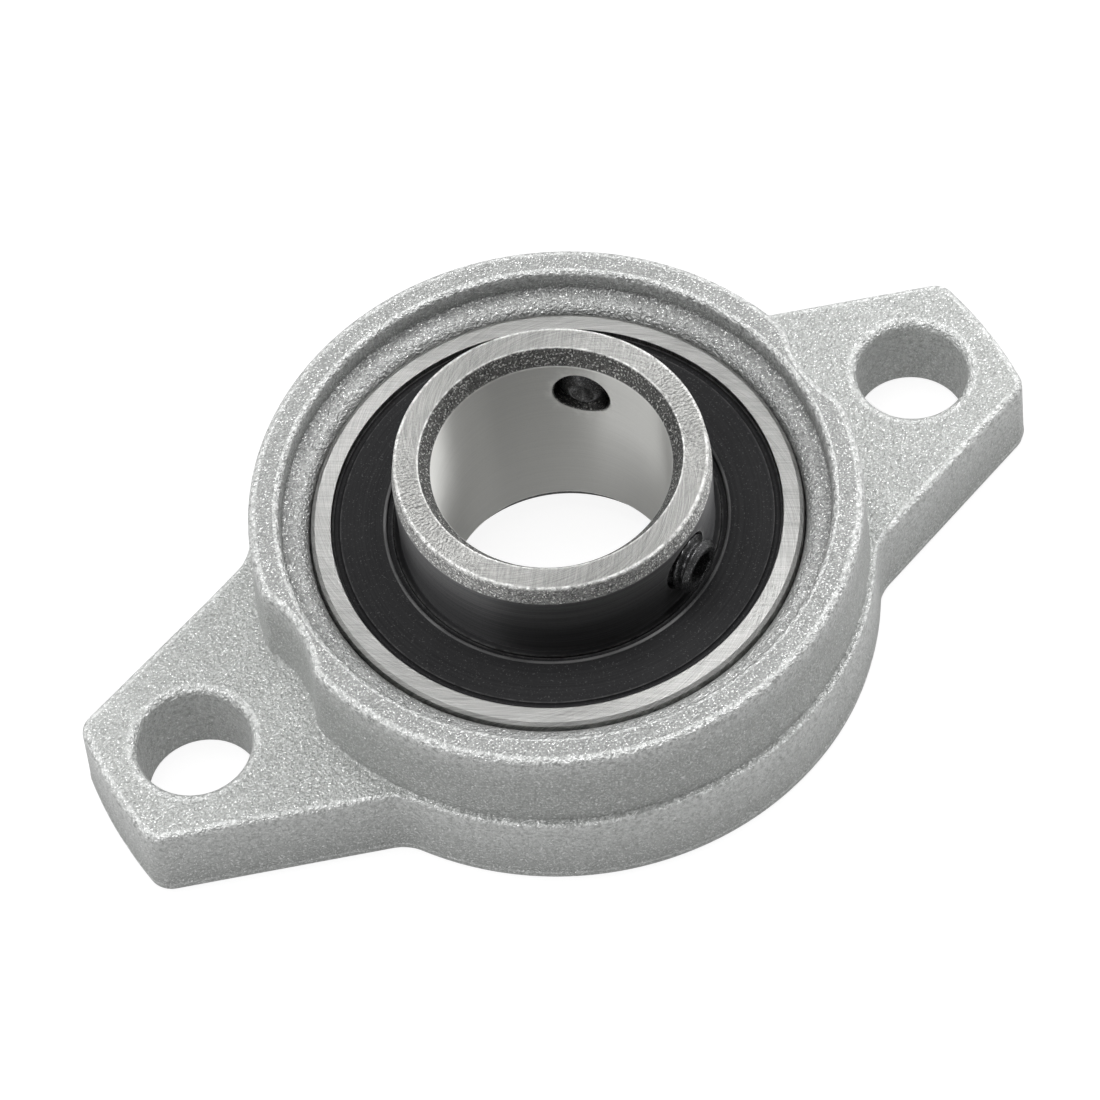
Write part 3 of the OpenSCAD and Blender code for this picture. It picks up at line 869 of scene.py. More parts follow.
grain, specks = make_grain(), make_specks()
print("effects:", grain.name, specks.name)

# %% [markdown]
# ## Scratches, turning marks and wear
# Scratches are a noise stretched along one direction. Turning marks are a noise that depends on the
# radius and the height and changes slowly round the axis. With a slant they turn into the spirals
# that a grinding wheel leaves. Wear is the worn attribute of the edges, broken up by a noise.

# %% Scratches, turning marks and wear
usual_radius = 0.01


def make_scratches():
    tree, given, out = effect("straight_scratches", {"Angle": 0.0, "Width": 0.00004, "Length": 0.002},
                              ["Lines"])
    turned_round = add(tree, "ShaderNodeVectorRotate", {"Vector": given["Vector"], "Angle": given["Angle"]},
                       rotation_type="Z_AXIS").outputs[0]
    part = add(tree, "ShaderNodeSeparateXYZ", {0: turned_round}).outputs
    stretched = xyz(tree, X=maths(tree, "DIVIDE", part["X"], given["Length"]),
                    Y=maths(tree, "DIVIDE", part["Y"], given["Width"]),
                    Z=maths(tree, "DIVIDE", part["Z"], given["Length"]))
    tree.links.new(spread(tree, noise(tree, stretched, 2.0, 0.6), 0.35, 0.65), out["Lines"])
    return tree


def make_round_marks():
    """Marks round the Z axis, as long as Length at the usual radius. Slant turns them by that many
    radians for each metre of radius."""
    tree, given, out = effect("marks_round_the_axis", {"Spacing": 0.00005, "Length": 0.02, "Slant": 0.0},
                              ["Lines", "Radius", "Height"])
    part = add(tree, "ShaderNodeSeparateXYZ", {0: given["Vector"]}).outputs
    flat = xyz(tree, X=part["X"], Y=part["Y"])
    radius = add(tree, "ShaderNodeVectorMath", {0: flat}, operation="LENGTH").outputs["Value"]
    drift = maths(tree, "MULTIPLY", radius, given["Slant"])
    swept = add(tree, "ShaderNodeVectorRotate", {"Vector": flat, "Angle": drift},
                rotation_type="Z_AXIS").outputs[0]
    way = add(tree, "ShaderNodeVectorMath", {0: swept}, operation="NORMALIZE").outputs[0]
    along = scaled(tree, way, maths(tree, "DIVIDE", usual_radius, given["Length"]))
    across = maths(tree, "DIVIDE", maths(tree, "ADD", radius, part["Z"]), given["Spacing"])
    spot = add(tree, "ShaderNodeVectorMath", {0: along, 1: xyz(tree, Z=across)}, operation="ADD").outputs[0]
    tree.links.new(spread(tree, noise(tree, spot, 2.0, 0.6), 0.35, 0.65), out["Lines"])
    tree.links.new(radius, out["Radius"])
    tree.links.new(part["Z"], out["Height"])
    return tree


def make_wear():
    tree, given, out = effect("edge_wear", {"Worn": 0.0, "Break Size": 0.0003, "Amount": 1.0}, ["Mask"])
    patches = noise(tree, shrunk(tree, given["Vector"], given["Break Size"]), 2.0, 0.6)
    broken = maths(tree, "MULTIPLY", given["Worn"], spread(tree, patches, 0.3, 0.62))
    tree.links.new(maths(tree, "MULTIPLY", broken, given["Amount"]), out["Mask"])
    return tree


scratches, round_marks, edge_wear = make_scratches(), make_round_marks(), make_wear()
print("effects:", scratches.name, round_marks.name, edge_wear.name)

# %% [markdown]
# ## What every finish starts from
# Each finish is a material with one Principled shader, fed by the effects at the piece's own
# coordinates. Turned steel also stretches its gloss across its marks, which needs a direction round
# the axis at every point.

# %% Start of a finish
def finish(name, metallic, roughness, **plain):
    """A material with a Principled shader: itself, its tree, the shader's inputs and the place."""
    material = bpy.data.materials.new(name)
    material.use_nodes = True
    tree = material.node_tree
    tree.nodes.clear()
    shader = add(tree, "ShaderNodeBsdfPrincipled", {"Metallic": metallic, "Roughness": roughness})
    for key, value in plain.items():
        shader.inputs[key.replace("_", " ")].default_value = value
    add(tree, "ShaderNodeOutputMaterial", {"Surface": shader.outputs[0]})
    return material, tree, shader.inputs, add(tree, "ShaderNodeTexCoord").outputs["Object"]


def add_round_tangent(tree, shader):
    """Lays the stretched gloss of turned steel across marks that run round the axis."""
    tangent = add(tree, "ShaderNodeTangent", direction_type="RADIAL", axis="Z").outputs[0]
    tree.links.new(tangent, shader["Tangent"])


def bump(tree, height, depth):
    """Normals of a relief whose height of 1 is a depth in metres."""
    return add(tree, "ShaderNodeBump", {"Height": height, "Distance": depth, "Strength": 1.0}).outputs[0]


def worn_mask(tree, place, size, amount):
    worn = add(tree, "ShaderNodeAttribute", attribute_name="worn").outputs["Fac"]
    return use(tree, edge_wear, {"Vector": place, "Worn": worn, "Break Size": size, "Amount": amount})["Mask"]


def opposite(tree, mask):
    return maths(tree, "SUBTRACT", 1.0, mask)


def above(tree, value, edge, soft=0.02):
    """1 where a value in metres is above an edge in millimetres."""
    return spread(tree, value, (edge - soft) * MM, (edge + soft) * MM)


print("ready to make finishes")

# %% [markdown]
# ## Cast zinc
# The housing is a die casting that has been blasted with beads and left bare. It is a soft pale grey
# that glitters: each dent faces another way, so some flash and some go dark. Real dents would take
# millions of faces, so the grain is a bump, with a little of its pattern in the colour, and the flashing
# facets get a painted glint in their colour. The worn edges are a little brighter, partly wear and
# partly a painted highlight. The step inside the rim is darker as painted shade, and so is the top of
# the boss, a little more towards its rim.

# %% Cast zinc
rim_shade, rim_shade_from, rim_shade_to = 0.34, 10.5, 12.5
recess_shade, recess_shade_in, recess_shade_out = 0.52, 17.3, 17.7


def make_cast_zinc():
    material, tree, shader, place = finish("cast_zinc_blasted", 0.8, 0.5)
    dents = use(tree, grain, {"Vector": place, "Grain Size": 0.000175})
    bare = blend(tree, dents["Tone"], (0.54, 0.55, 0.54), (0.60, 0.61, 0.60))
    speckled = blend(tree, dents["Height"], (0.40, 0.41, 0.40), bare)
    spot = use(tree, round_marks, {"Vector": place})
    # Painted shade: the boss darkens towards its rim, and the step inside the rim is darker.
    rim = spread(tree, spot["Height"], rim_shade_from * MM, rim_shade_to * MM, 0.0, rim_shade)
    recess_painted_shade = spread(tree, spot["Radius"], recess_shade_in * MM, recess_shade_out * MM, recess_shade, 0.0)
    shaded = blend(tree, maths(tree, "MAXIMUM", rim, recess_painted_shade), speckled, (0.2, 0.2, 0.2))
    # Painted glints: the facets picked by Flash get a near-white colour, as well as a lower roughness.
    with_painted_glints = blend(tree, dents["Flash"], shaded, (0.97, 0.98, 0.97))
    # The worn edges are painted brighter: partly wear, partly a painted highlight.
    edges = worn_mask(tree, place, 0.0003, 0.75)
    tree.links.new(blend(tree, edges, with_painted_glints, (0.92, 0.93, 0.92)), shader["Base Color"])
    tree.links.new(spread(tree, dents["Flash"], 0, 1, 0.48, 0.24), shader["Roughness"])
    tree.links.new(bump(tree, dents["Height"], 0.00011), shader["Normal"])
    return material


cast_zinc = make_cast_zinc()
print("finish:", cast_zinc.name)

# %% [markdown]
# ## Ground steel of the outer ring
# The ring's flat face came off a grinding wheel, which leaves fine lines that slant across it. They
# are marks round the axis with a slant, crossed by a few straight ones. They show in the colour, a
# little in the gloss, and with a fine grain in the relief. Lines finer than a pixel can't be drawn,
# and the stretched gloss stands for those.

# %% Ground steel
def make_ground_steel():
    material, tree, shader, place = finish("ground_steel", 1.0, 0.45, Anisotropic=1.0)
    add_round_tangent(tree, shader)
    lines = use(tree, round_marks, {"Vector": place, "Spacing": 0.0006, "Length": 0.00004, "Slant": 260.0})
    cross = use(tree, scratches, {"Vector": place, "Angle": 0.6, "Width": 0.00006, "Length": 0.003})
    rough = use(tree, grain, {"Vector": place, "Grain Size": 0.00017})
    streaks = share(tree, lines["Lines"], cross["Lines"], 0.7)
    tree.links.new(blend(tree, streaks, (0.27, 0.27, 0.265), (0.62, 0.62, 0.605)), shader["Base Color"])
    tree.links.new(spread(tree, streaks, 0, 1, 0.46, 0.4), shader["Roughness"])
    relief = maths(tree, "ADD", streaks, maths(tree, "MULTIPLY", rough["Height"], 2.0))
    tree.links.new(bump(tree, relief, 0.000004), shader["Normal"])
    return material


ground_steel = make_ground_steel()
print("finish:", ground_steel.name)

# %% [markdown]
# ## Where each surface of the inner ring is
# The inner ring has a bright front face, a ground bore, two rough chamfers, a rough collar outside
# the front and a black wall. Masks made from the radius and the height on the ring tell them apart,
# because one material covers them all and the real ring is one piece of steel too.

# %% Masks of the inner ring
collar_from, collar_soft = 1.38, 0.05


def inner_ring_masks(tree, radius, height):
    """Masks of the front face, the bore, the chamfers, the collar and the ledge beside the groove."""
    in_front = above(tree, height, nose_front - 0.03, 0.012)
    in_bore = opposite(tree, above(tree, radius, bore_r + 0.03, 0.015))
    inside = opposite(tree, above(tree, radius, bore_r + 1.0, 0.02))
    chamfer = maths(tree, "MULTIPLY", inside, opposite(tree, maths(tree, "MAXIMUM", in_front, in_bore)))
    high = above(tree, height, nose_front - collar_from, collar_soft)
    collar = maths(tree, "MULTIPLY", maths(tree, "MULTIPLY", opposite(tree, inside), high),
                   opposite(tree, in_front))
    ledge = above(tree, radius, nose_r + 0.05, 0.03)
    return in_front, in_bore, chamfer, collar, ledge


print("the collar starts", collar_from, "mm below the front face")

# %% [markdown]
# ## Blackened steel of the inner ring
# The inner ring was blackened by the heat of its hardening. Then its front face was ground bright and
# its bore was ground to size, while the chamfers and the collar kept a rough skin full of bright
# flecks, which are painted glints. The black wall is a little paler towards the front and darker
# towards the seal, a painted reflection, and it is darkest, as painted shade, on the ledge deep in the
# gap that the lip of the seal runs beside. The worn edges are painted near white, partly wear and
# partly a painted highlight.

# %% Blackened steel
painted_reflection_from, painted_reflection_to = 12.0, 15.8


def rough_colour(tree, rough, dark, pale, painted_glint):
    """The colour of a rough skin: dark in its dents, pale on its heights, with painted glints."""
    return blend(tree, rough["Flash"], blend(tree, rough["Height"], dark, pale), painted_glint)


def black_colour(tree, lines, height, ledge):
    """The colour of the black wall, from its groove to its collar."""
    low = blend(tree, lines, (0.045, 0.045, 0.047), (0.07, 0.07, 0.072))
    high = blend(tree, lines, (0.12, 0.12, 0.122), (0.18, 0.18, 0.182))
    # Painted reflection: the wall is paler higher up and darker low down, towards the black seal.
    wall = blend(tree, spread(tree, height, painted_reflection_from * MM, painted_reflection_to * MM), low, high)
    # Painted shade on the ledge deep in the gap beside the seal's lip.
    return blend(tree, ledge, wall, (0.03, 0.03, 0.031))


def make_dark_steel():
    material, tree, shader, place = finish("blackened_steel", 1.0, 0.4, Anisotropic=1.0,
                                           Anisotropic_Rotation=0.25)
    add_round_tangent(tree, shader)
    turning = use(tree, round_marks, {"Vector": place, "Spacing": 0.00012, "Length": 0.012, "Slant": 0.0})
    ground = use(tree, round_marks, {"Vector": place, "Spacing": 0.0007, "Length": 0.00006, "Slant": 330.0})
    crossed = use(tree, scratches, {"Vector": place, "Angle": -0.9, "Width": 0.00008, "Length": 0.0016})
    rough = use(tree, grain, {"Vector": place, "Grain Size": 0.00017})
    dirt = use(tree, specks, {"Vector": place, "Speck Size": 0.00011, "Rarity": 0.6})
    height, lines = turning["Height"], share(tree, ground["Lines"], crossed["Lines"], 0.7)
    in_front, in_bore, chamfer, collar, ledge = inner_ring_masks(tree, turning["Radius"], height)
    edges = worn_mask(tree, place, 0.0004, 0.75)

    # Both rough skins carry painted glints where the grain flashes.
    collar_skin = rough_colour(tree, rough, (0.13, 0.13, 0.128), (0.52, 0.52, 0.51), (1.0, 1.0, 0.98))
    chamfer_skin = rough_colour(tree, rough, (0.05, 0.05, 0.05), (0.15, 0.15, 0.145), (0.55, 0.55, 0.53))
    polished = blend(tree, turning["Lines"], (0.70, 0.70, 0.68), (0.73, 0.73, 0.71))
    bright = blend(tree, lines, (0.27, 0.27, 0.265), (0.66, 0.66, 0.64))
    colour = black_colour(tree, turning["Lines"], height, ledge)
    # The worn edges are painted near white: partly wear, partly a painted highlight.
    for mask, over in ((collar, collar_skin), (chamfer, chamfer_skin), (in_bore, polished),
                       (in_front, bright), (edges, (1.0, 1.0, 0.98))):
        colour = blend(tree, mask, colour, over)
    tree.links.new(colour, shader["Base Color"])

    level = maths(tree, "SUBTRACT", 0.5, maths(tree, "MULTIPLY", in_bore, 0.05))
    level = maths(tree, "ADD", level, maths(tree, "MULTIPLY", dirt["Mask"], 0.12))
    tree.links.new(maths(tree, "SUBTRACT", level, maths(tree, "MULTIPLY", edges, 0.2)), shader["Roughness"])
    uneven = maths(tree, "MAXIMUM", maths(tree, "MAXIMUM", chamfer, collar), edges)
    uneven = maths(tree, "MAXIMUM", uneven, maths(tree, "MULTIPLY", in_front, 0.7))
    dents = maths(tree, "MULTIPLY", rough["Height"], uneven)
    fine = maths(tree, "MULTIPLY", maths(tree, "MULTIPLY", lines, in_front), 0.04)
    tree.links.new(bump(tree, maths(tree, "ADD", dents, fine), 0.00007), shader["Normal"])
    return material


dark_steel = make_dark_steel()
print("finish:", dark_steel.name)

# %% [markdown]
# ## Seal rubber
# The rubber is matt black with a fine moulded speckle, a little dust and faint rings from its mould.
# Where the bead beside the nose stands highest it is smoother, and a painted highlight makes it
# paler there.

# %% Seal rubber
bead_top = seal_front + 0.06


def make_rubber():
    material, tree, shader, place = finish("seal_rubber_black", 0.0, 0.6, Specular_IOR_Level=0.12)
    skin = use(tree, grain, {"Vector": place, "Grain Size": 0.00015})
    dust = use(tree, specks, {"Vector": place, "Speck Size": 0.0001, "Rarity": 0.66})
    turning = use(tree, round_marks, {"Vector": place, "Spacing": 0.0001, "Length": 0.02, "Slant": 0.0})
    base = blend(tree, skin["Tone"], (0.011, 0.011, 0.012), (0.017, 0.017, 0.018))
    rings = maths(tree, "MULTIPLY", turning["Lines"], 0.35)
    ringed = blend(tree, rings, base, (0.034, 0.034, 0.035))
    dusty = blend(tree, maths(tree, "MULTIPLY", dust["Mask"], 0.5), ringed, (0.1, 0.1, 0.1))
    from_middle = maths(tree, "ABSOLUTE", maths(tree, "SUBTRACT", turning["Height"], ring_z * MM))
    # Painted highlight along the top of the bead, combined below with the wear of the edges.
    painted_bead_highlight = maths(tree, "MULTIPLY", above(tree, from_middle, bead_top, 0.03), skin["Tone"])
    wear_and_painted_highlight = maths(tree, "MAXIMUM", worn_mask(tree, place, 0.0006, 0.25), maths(tree, "MULTIPLY", painted_bead_highlight, 0.9))
    tree.links.new(blend(tree, wear_and_painted_highlight, dusty, (0.20, 0.20, 0.20)), shader["Base Color"])
    matt = spread(tree, skin["Height"], 0, 1, 0.55, 0.72)
    tree.links.new(maths(tree, "SUBTRACT", matt, maths(tree, "MULTIPLY", painted_bead_highlight, 0.3)), shader["Roughness"])
    tree.links.new(bump(tree, skin["Height"], 0.000012), shader["Normal"])
    return material


seal_rubber = make_rubber()
print("finish:", seal_rubber.name)

# %% [markdown]
# ## Screws, balls and sheet steel
# The set screws are black oxide with a trace of oil, which makes them glossier than the ring. The
# balls are polished. The washers, the rivets and the cage are bright rolled sheet, with the faint
# lines of rolling.

# %% Screws, balls and sheet
def make_screw_steel():
    material, tree, shader, place = finish("screw_black_oxide", 0.9, 0.35)
    skin = use(tree, grain, {"Vector": place, "Grain Size": 0.00012})
    shade = blend(tree, skin["Tone"], (0.07, 0.07, 0.072), (0.13, 0.13, 0.133))
    # Painted glints: the facets picked by Flash are painted paler.
    tree.links.new(blend(tree, skin["Flash"], shade, (0.30, 0.30, 0.305)), shader["Base Color"])
    tree.links.new(spread(tree, skin["Height"], 0, 1, 0.22, 0.36), shader["Roughness"])
    tree.links.new(bump(tree, skin["Height"], 0.000004), shader["Normal"])
    return material


def make_ball_steel():
    material, tree, shader, place = finish("ball_polished", 1.0, 0.08)
    skin = use(tree, grain, {"Vector": place, "Grain Size": 0.0004})
    tree.links.new(blend(tree, skin["Tone"], (0.62, 0.62, 0.63), (0.70, 0.70, 0.71)), shader["Base Color"])
    tree.links.new(spread(tree, skin["Height"], 0, 1, 0.06, 0.11), shader["Roughness"])
    return material


def make_sheet_steel():
    material, tree, shader, place = finish("rolled_sheet", 1.0, 0.3)
    rolled = use(tree, scratches, {"Vector": place, "Angle": 0.0, "Width": 0.00008, "Length": 0.006})
    tree.links.new(blend(tree, rolled["Lines"], (0.48, 0.48, 0.46), (0.60, 0.60, 0.58)), shader["Base Color"])
    tree.links.new(spread(tree, rolled["Lines"], 0, 1, 0.24, 0.36), shader["Roughness"])
    tree.links.new(bump(tree, rolled["Lines"], 0.000002), shader["Normal"])
    return material


screw_steel, ball_steel, sheet_steel = make_screw_steel(), make_ball_steel(), make_sheet_steel()
print("finishes:", ", ".join(material.name for material in (screw_steel, ball_steel, sheet_steel)))

# %% [markdown]
# ## Trees of Geometry Nodes
# What repeats round the bearing, and a thread, follow a rule, so they are made by Geometry Nodes. A
# tree takes a blank shape and named sizes, and ends by making its copies real and giving them their
# material. Then the tree runs on the blank and the result is kept as a plain mesh, because the export
# knows nothing of modifiers or instances.

# %% Helpers for trees
def growing_tree(name, sizes):
    """An empty tree with a shape going in, named sizes, a material, and a shape coming out."""
    tree = bpy.data.node_groups.new(name, "GeometryNodeTree")
    tree.interface.new_socket("Geometry", in_out="INPUT", socket_type="NodeSocketGeometry")
    for label, value in sizes.items():
        kind = "NodeSocketInt" if isinstance(value, int) else "NodeSocketFloat"
        tree.interface.new_socket(label, in_out="INPUT", socket_type=kind).default_value = value
    tree.interface.new_socket("Material", in_out="INPUT", socket_type="NodeSocketMaterial")
    tree.interface.new_socket("Geometry", in_out="OUTPUT", socket_type="NodeSocketGeometry")
    return tree, add(tree, "NodeGroupInput").outputs, add(tree, "NodeGroupOutput").inputs


def finish_tree(tree, geometry, material, result):
    """Ends a tree: copies become real, and all faces get the material."""
    solid = add(tree, "GeometryNodeRealizeInstances", {"Geometry": geometry}).outputs[0]
    dressed = add(tree, "GeometryNodeSetMaterial", {"Geometry": solid, "Material": material}).outputs[0]
    tree.links.new(dressed, result["Geometry"])


def grown(name, blank, tree, values, sharp):
    """Runs a tree on a blank mesh and puts what it makes in the scene as a plain piece, whose edges
    look sharp from an angle in degrees."""
    carrier = bpy.data.objects.new(name + "_blank", blank)
    bpy.context.scene.collection.objects.link(carrier)
    modifier = carrier.modifiers.new("tree", "NODES")
    modifier.node_group = tree
    for item in tree.interface.items_tree:
        if item.in_out == "INPUT" and item.name in values:
            modifier[item.identifier] = values[item.name]
    depsgraph = bpy.context.evaluated_depsgraph_get()
    mesh = bpy.data.meshes.new_from_object(carrier.evaluated_get(depsgraph), depsgraph=depsgraph)
    bpy.data.objects.remove(carrier)
    mesh.shade_smooth()
    mesh.set_sharp_from_angle(angle=math.radians(sharp))
    return show(name, mesh)


print("helpers for trees ready")

# %% [markdown]
# ## Blanks for the trees
# A blank is a closed turning that stands on the origin. It is built from rows of radius and height,
# with a single point at each end. A row can carry named marks, which the tree reads to know where it
# has work to do.

# %% Blanks
def blank_turning(name, rows, sides):
    """A closed turning from rows of radius, height and named marks, with a point at both ends."""
    marks = [key for key in rows[1] if key not in ("r", "z")]
    points, faces = [(0, 0, MM * rows[0]["z"])], []
    values = {key: [0.0] for key in marks}
    for row in rows[1:-1]:
        for k in range(sides):
            a = 2 * math.pi * k / sides
            points.append((MM * row["r"] * math.cos(a), MM * row["r"] * math.sin(a), MM * row["z"]))
        for key in marks:
            values[key] += [float(row.get(key, 0))] * sides
    points.append((0, 0, MM * rows[-1]["z"]))
    last = 1 + (len(rows) - 3) * sides
    for k in range(sides):
        m = (k + 1) % sides
        faces.append((0, 1 + m, 1 + k))
        for low in range(1, last, sides):
            faces.append((low + k, low + m, low + sides + m, low + sides + k))
        faces.append((last + k, last + m, len(points) - 1))
    mesh = bpy.data.meshes.new(name)
    mesh.from_pydata(points, [], faces)
    for key in marks:
        mesh.attributes.new(key, "FLOAT", "POINT").data.foreach_set("value", values[key] + [0.0])
    return mesh


print("blanks ready")

# %% [markdown]
# ## Balls
# Nine balls run in the grooves, evenly spaced. A loop could place nine spheres. A tree does the same
# with a count and a pitch diameter that stay open to change: it sets a circle of points, puts a ball
# on the point whose number is asked for, and lifts it to the middle of the ring. Each ball is a body
# of its own, so the tree runs nine times.

# %% Balls
ball_count, ball_turns = 9, 28


def ball_tree():
    tree, sizes, result = growing_tree("ball_circle", {
        "Pitch Diameter": 2 * pitch_r * MM, "Height": ring_z * MM,
        "Ball Count": ball_count, "Ball Number": 0})
    radius = maths(tree, "DIVIDE", sizes["Pitch Diameter"], 2.0)
    circle = add(tree, "GeometryNodeMeshCircle", {"Vertices": sizes["Ball Count"], "Radius": radius})
    index = add(tree, "GeometryNodeInputIndex").outputs[0]
    chosen = add(tree, "FunctionNodeCompare", {2: index, 3: sizes["Ball Number"]},
                 data_type="INT", operation="EQUAL")
    balls = add(tree, "GeometryNodeInstanceOnPoints", {
        "Points": circle.outputs[0], "Selection": chosen.outputs[0], "Instance": sizes["Geometry"]})
    placed = add(tree, "GeometryNodeTransform", {
        "Geometry": balls.outputs[0], "Translation": xyz(tree, Z=sizes["Height"])})
    finish_tree(tree, placed.outputs[0], sizes["Material"], result)
    return tree


def ball_blank():
    turns = [math.pi * k / ball_turns for k in range(ball_turns + 1)]
    rows = [{"r": ball_r * math.sin(a), "z": -ball_r * math.cos(a)} for a in turns]
    return blank_turning("ball_blank", rows, 2 * ball_turns)


ball_circle = ball_tree()
ball_pieces = [grown(f"ball_ground_{n + 1}", ball_blank(), ball_circle,
                     {"Ball Number": n, "Material": ball_steel}, sharp=180) for n in range(ball_count)]

# %% [markdown]
# ## Rivets of the cage
# The cage is two pressed bands held together by a rivet between each pair of balls. One rivet is
# turned with a domed head at each end, and a tree sets nine of them on the same circle, half a step
# round from the balls. They all ride on the cage, so here one run of the tree keeps the whole set.

# %% Rivets
shank_r, head_r, head_h, head_edge, grip = 0.4, 0.65, 0.25, 0.08, 0.4


def rivet_tree():
    tree, sizes, result = growing_tree("rivet_circle", {
        "Pitch Diameter": 2 * pitch_r * MM, "Height": ring_z * MM, "Rivet Count": ball_count})
    radius = maths(tree, "DIVIDE", sizes["Pitch Diameter"], 2.0)
    circle = add(tree, "GeometryNodeMeshCircle", {"Vertices": sizes["Rivet Count"], "Radius": radius})
    rivets = add(tree, "GeometryNodeInstanceOnPoints", {
        "Points": circle.outputs[0], "Instance": sizes["Geometry"]})
    half_step = maths(tree, "DIVIDE", math.pi, sizes["Rivet Count"])
    placed = add(tree, "GeometryNodeTransform", {
        "Geometry": rivets.outputs[0], "Translation": xyz(tree, Z=sizes["Height"]),
        "Rotation": xyz(tree, Z=half_step)})
    finish_tree(tree, placed.outputs[0], sizes["Material"], result)
    return tree


def rivet_blank():
    dome = [(head_r * math.cos(math.radians(a)),
             grip + head_edge + (head_h - head_edge) * math.sin(math.radians(a))) for a in range(0, 90, 20)]
    half = [(shank_r, grip), (head_r, grip)] + dome
    rows = [{"r": 0, "z": -grip - head_h}] + [{"r": r, "z": -z} for r, z in half[::-1]]
    rows += [{"r": r, "z": z} for r, z in half] + [{"r": 0, "z": grip + head_h}]
    return blank_turning("rivet_blank", rows, 24)


rivets_piece = grown("cage_rivets_set", rivet_blank(), rivet_tree(), {"Material": sheet_steel}, sharp=40)

# %% [markdown]
# ## The blank of a set screw
# Two black set screws lock the nose to the shaft. A screw is turned as a blank with a cup point at
# one end, whose rim bites into the shaft, and a plain hole at the other. A thread swept along a helix
# would have to be joined to the screw's body, while a turned blank is closed from the start. Two
# marks say which of its points belong to the thread, fading out at both ends, and which to the hole.

# %% Blank of a set screw
screw_length, crest_r, point_length = 3.5, 1.81, 0.75
cup_r, cup_rim, cup_depth = 0.8, 0.1, 0.5
socket_r, socket_floor_r, socket_depth, socket_cone = 1.1, 0.9, 1.8, 0.15
chamfer_length, chamfer_in, chamfer_up = 0.3, 0.28, 0.27
thread_rows, fade_in_rows, fade_out_rows = 52, 4, 5
end_rows = ((1.48, 0.005), (1.44, 0), (1.3, 0), (1.24, 0.02))


def screw_blank():
    top, bottom = screw_length - chamfer_length, screw_length - socket_depth
    outer_cup_r = cup_r + cup_rim
    rows = [{"r": 0, "z": cup_depth}]
    rows += [{"r": cup_r * k / 6, "z": cup_depth * (1 - k / 6)} for k in range(1, 7)]
    rows += [{"r": cup_r + 0.04, "z": 0.0}, {"r": outer_cup_r, "z": 0.03}]
    rows += [{"r": outer_cup_r + (crest_r - outer_cup_r) * k / 6, "z": point_length * k / 6}
             for k in range(1, 6)]
    rows += [{"r": crest_r, "z": point_length + (top - point_length) * k / thread_rows,
              "thread": min(1, k / fade_in_rows, (thread_rows - k) / fade_out_rows)}
             for k in range(thread_rows + 1)]
    rows += [{"r": crest_r - chamfer_in * k / 3, "z": top + chamfer_up * k / 3} for k in (1, 2, 3)]
    rows += [{"r": r, "z": screw_length - below} for r, below in end_rows]
    rows += [{"r": socket_r, "z": z, "socket": 1}
             for z in (screw_length - 0.1, screw_length - 0.2, bottom + 0.05)]
    rows += [{"r": socket_floor_r, "z": bottom}, {"r": 0, "z": bottom - socket_cone}]
    rows[1] |= {"thread": 0, "socket": 0}
    return blank_turning("screw_blank", rows, 72)


print("a set screw is", screw_length, "mm long")

# %% [markdown]
# ## Cutting and placing the set screws
# The tree cuts the thread, which is a ridge that climbs as it goes round, by moving each point
# inwards by its distance from the ridge. It moves the hole's points out to a hexagon in the same way.
# Last, it lays the screw down along its own direction, with its cup at the bore.

# %% Set screws
thread_pitch, thread_depth, socket_width = 0.7, 0.36, 2.0


def screw_tree():
    tree, sizes, result = growing_tree("cut_set_screw", {
        "Thread Pitch": thread_pitch * MM, "Thread Depth": thread_depth * MM,
        "Socket Width": socket_width * MM, "Angle": 0.0, "Tip Radius": bore_r * MM, "Height": screw_z * MM})
    part = add(tree, "ShaderNodeSeparateXYZ", {0: add(tree, "GeometryNodeInputPosition").outputs[0]}).outputs
    angle = maths(tree, "ARCTAN2", part["Y"], part["X"])
    marks = {name: add(tree, "GeometryNodeInputNamedAttribute", {"Name": name}, data_type="FLOAT").outputs[0]
             for name in ("thread", "socket")}

    climb = maths(tree, "SUBTRACT", maths(tree, "DIVIDE", part["Z"], sizes["Thread Pitch"]),
                  maths(tree, "DIVIDE", angle, 2 * math.pi))
    ridge = maths(tree, "PINGPONG", maths(tree, "MULTIPLY", climb, 2.0), 1.0)
    cut = maths(tree, "MULTIPLY", spread(tree, ridge, 0.12, 0.85), marks["thread"])
    inwards = maths(tree, "MULTIPLY", cut, sizes["Thread Depth"])

    corner = maths(tree, "SUBTRACT", maths(tree, "FLOORED_MODULO", angle, math.pi / 3), math.pi / 6)
    half_width = maths(tree, "DIVIDE", sizes["Socket Width"], 2.0)
    reach = maths(tree, "DIVIDE", half_width, maths(tree, "COSINE", corner))
    flat = xyz(tree, X=part["X"], Y=part["Y"])
    radius = add(tree, "ShaderNodeVectorMath", {0: flat}, operation="LENGTH").outputs["Value"]
    outwards = maths(tree, "MULTIPLY", maths(tree, "SUBTRACT", reach, radius), marks["socket"])

    way = xyz(tree, X=maths(tree, "COSINE", angle), Y=maths(tree, "SINE", angle))
    move = scaled(tree, way, maths(tree, "SUBTRACT", outwards, inwards))
    shape = add(tree, "GeometryNodeSetPosition", {"Geometry": sizes["Geometry"], "Offset": move}).outputs[0]
    for change in ({"Rotation": (0, math.pi / 2, 0)},
                   {"Translation": xyz(tree, X=sizes["Tip Radius"], Z=sizes["Height"])},
                   {"Rotation": xyz(tree, Z=sizes["Angle"])}):
        shape = add(tree, "GeometryNodeTransform", {"Geometry": shape, **change}).outputs[0]
    finish_tree(tree, shape, sizes["Material"], result)
    return tree


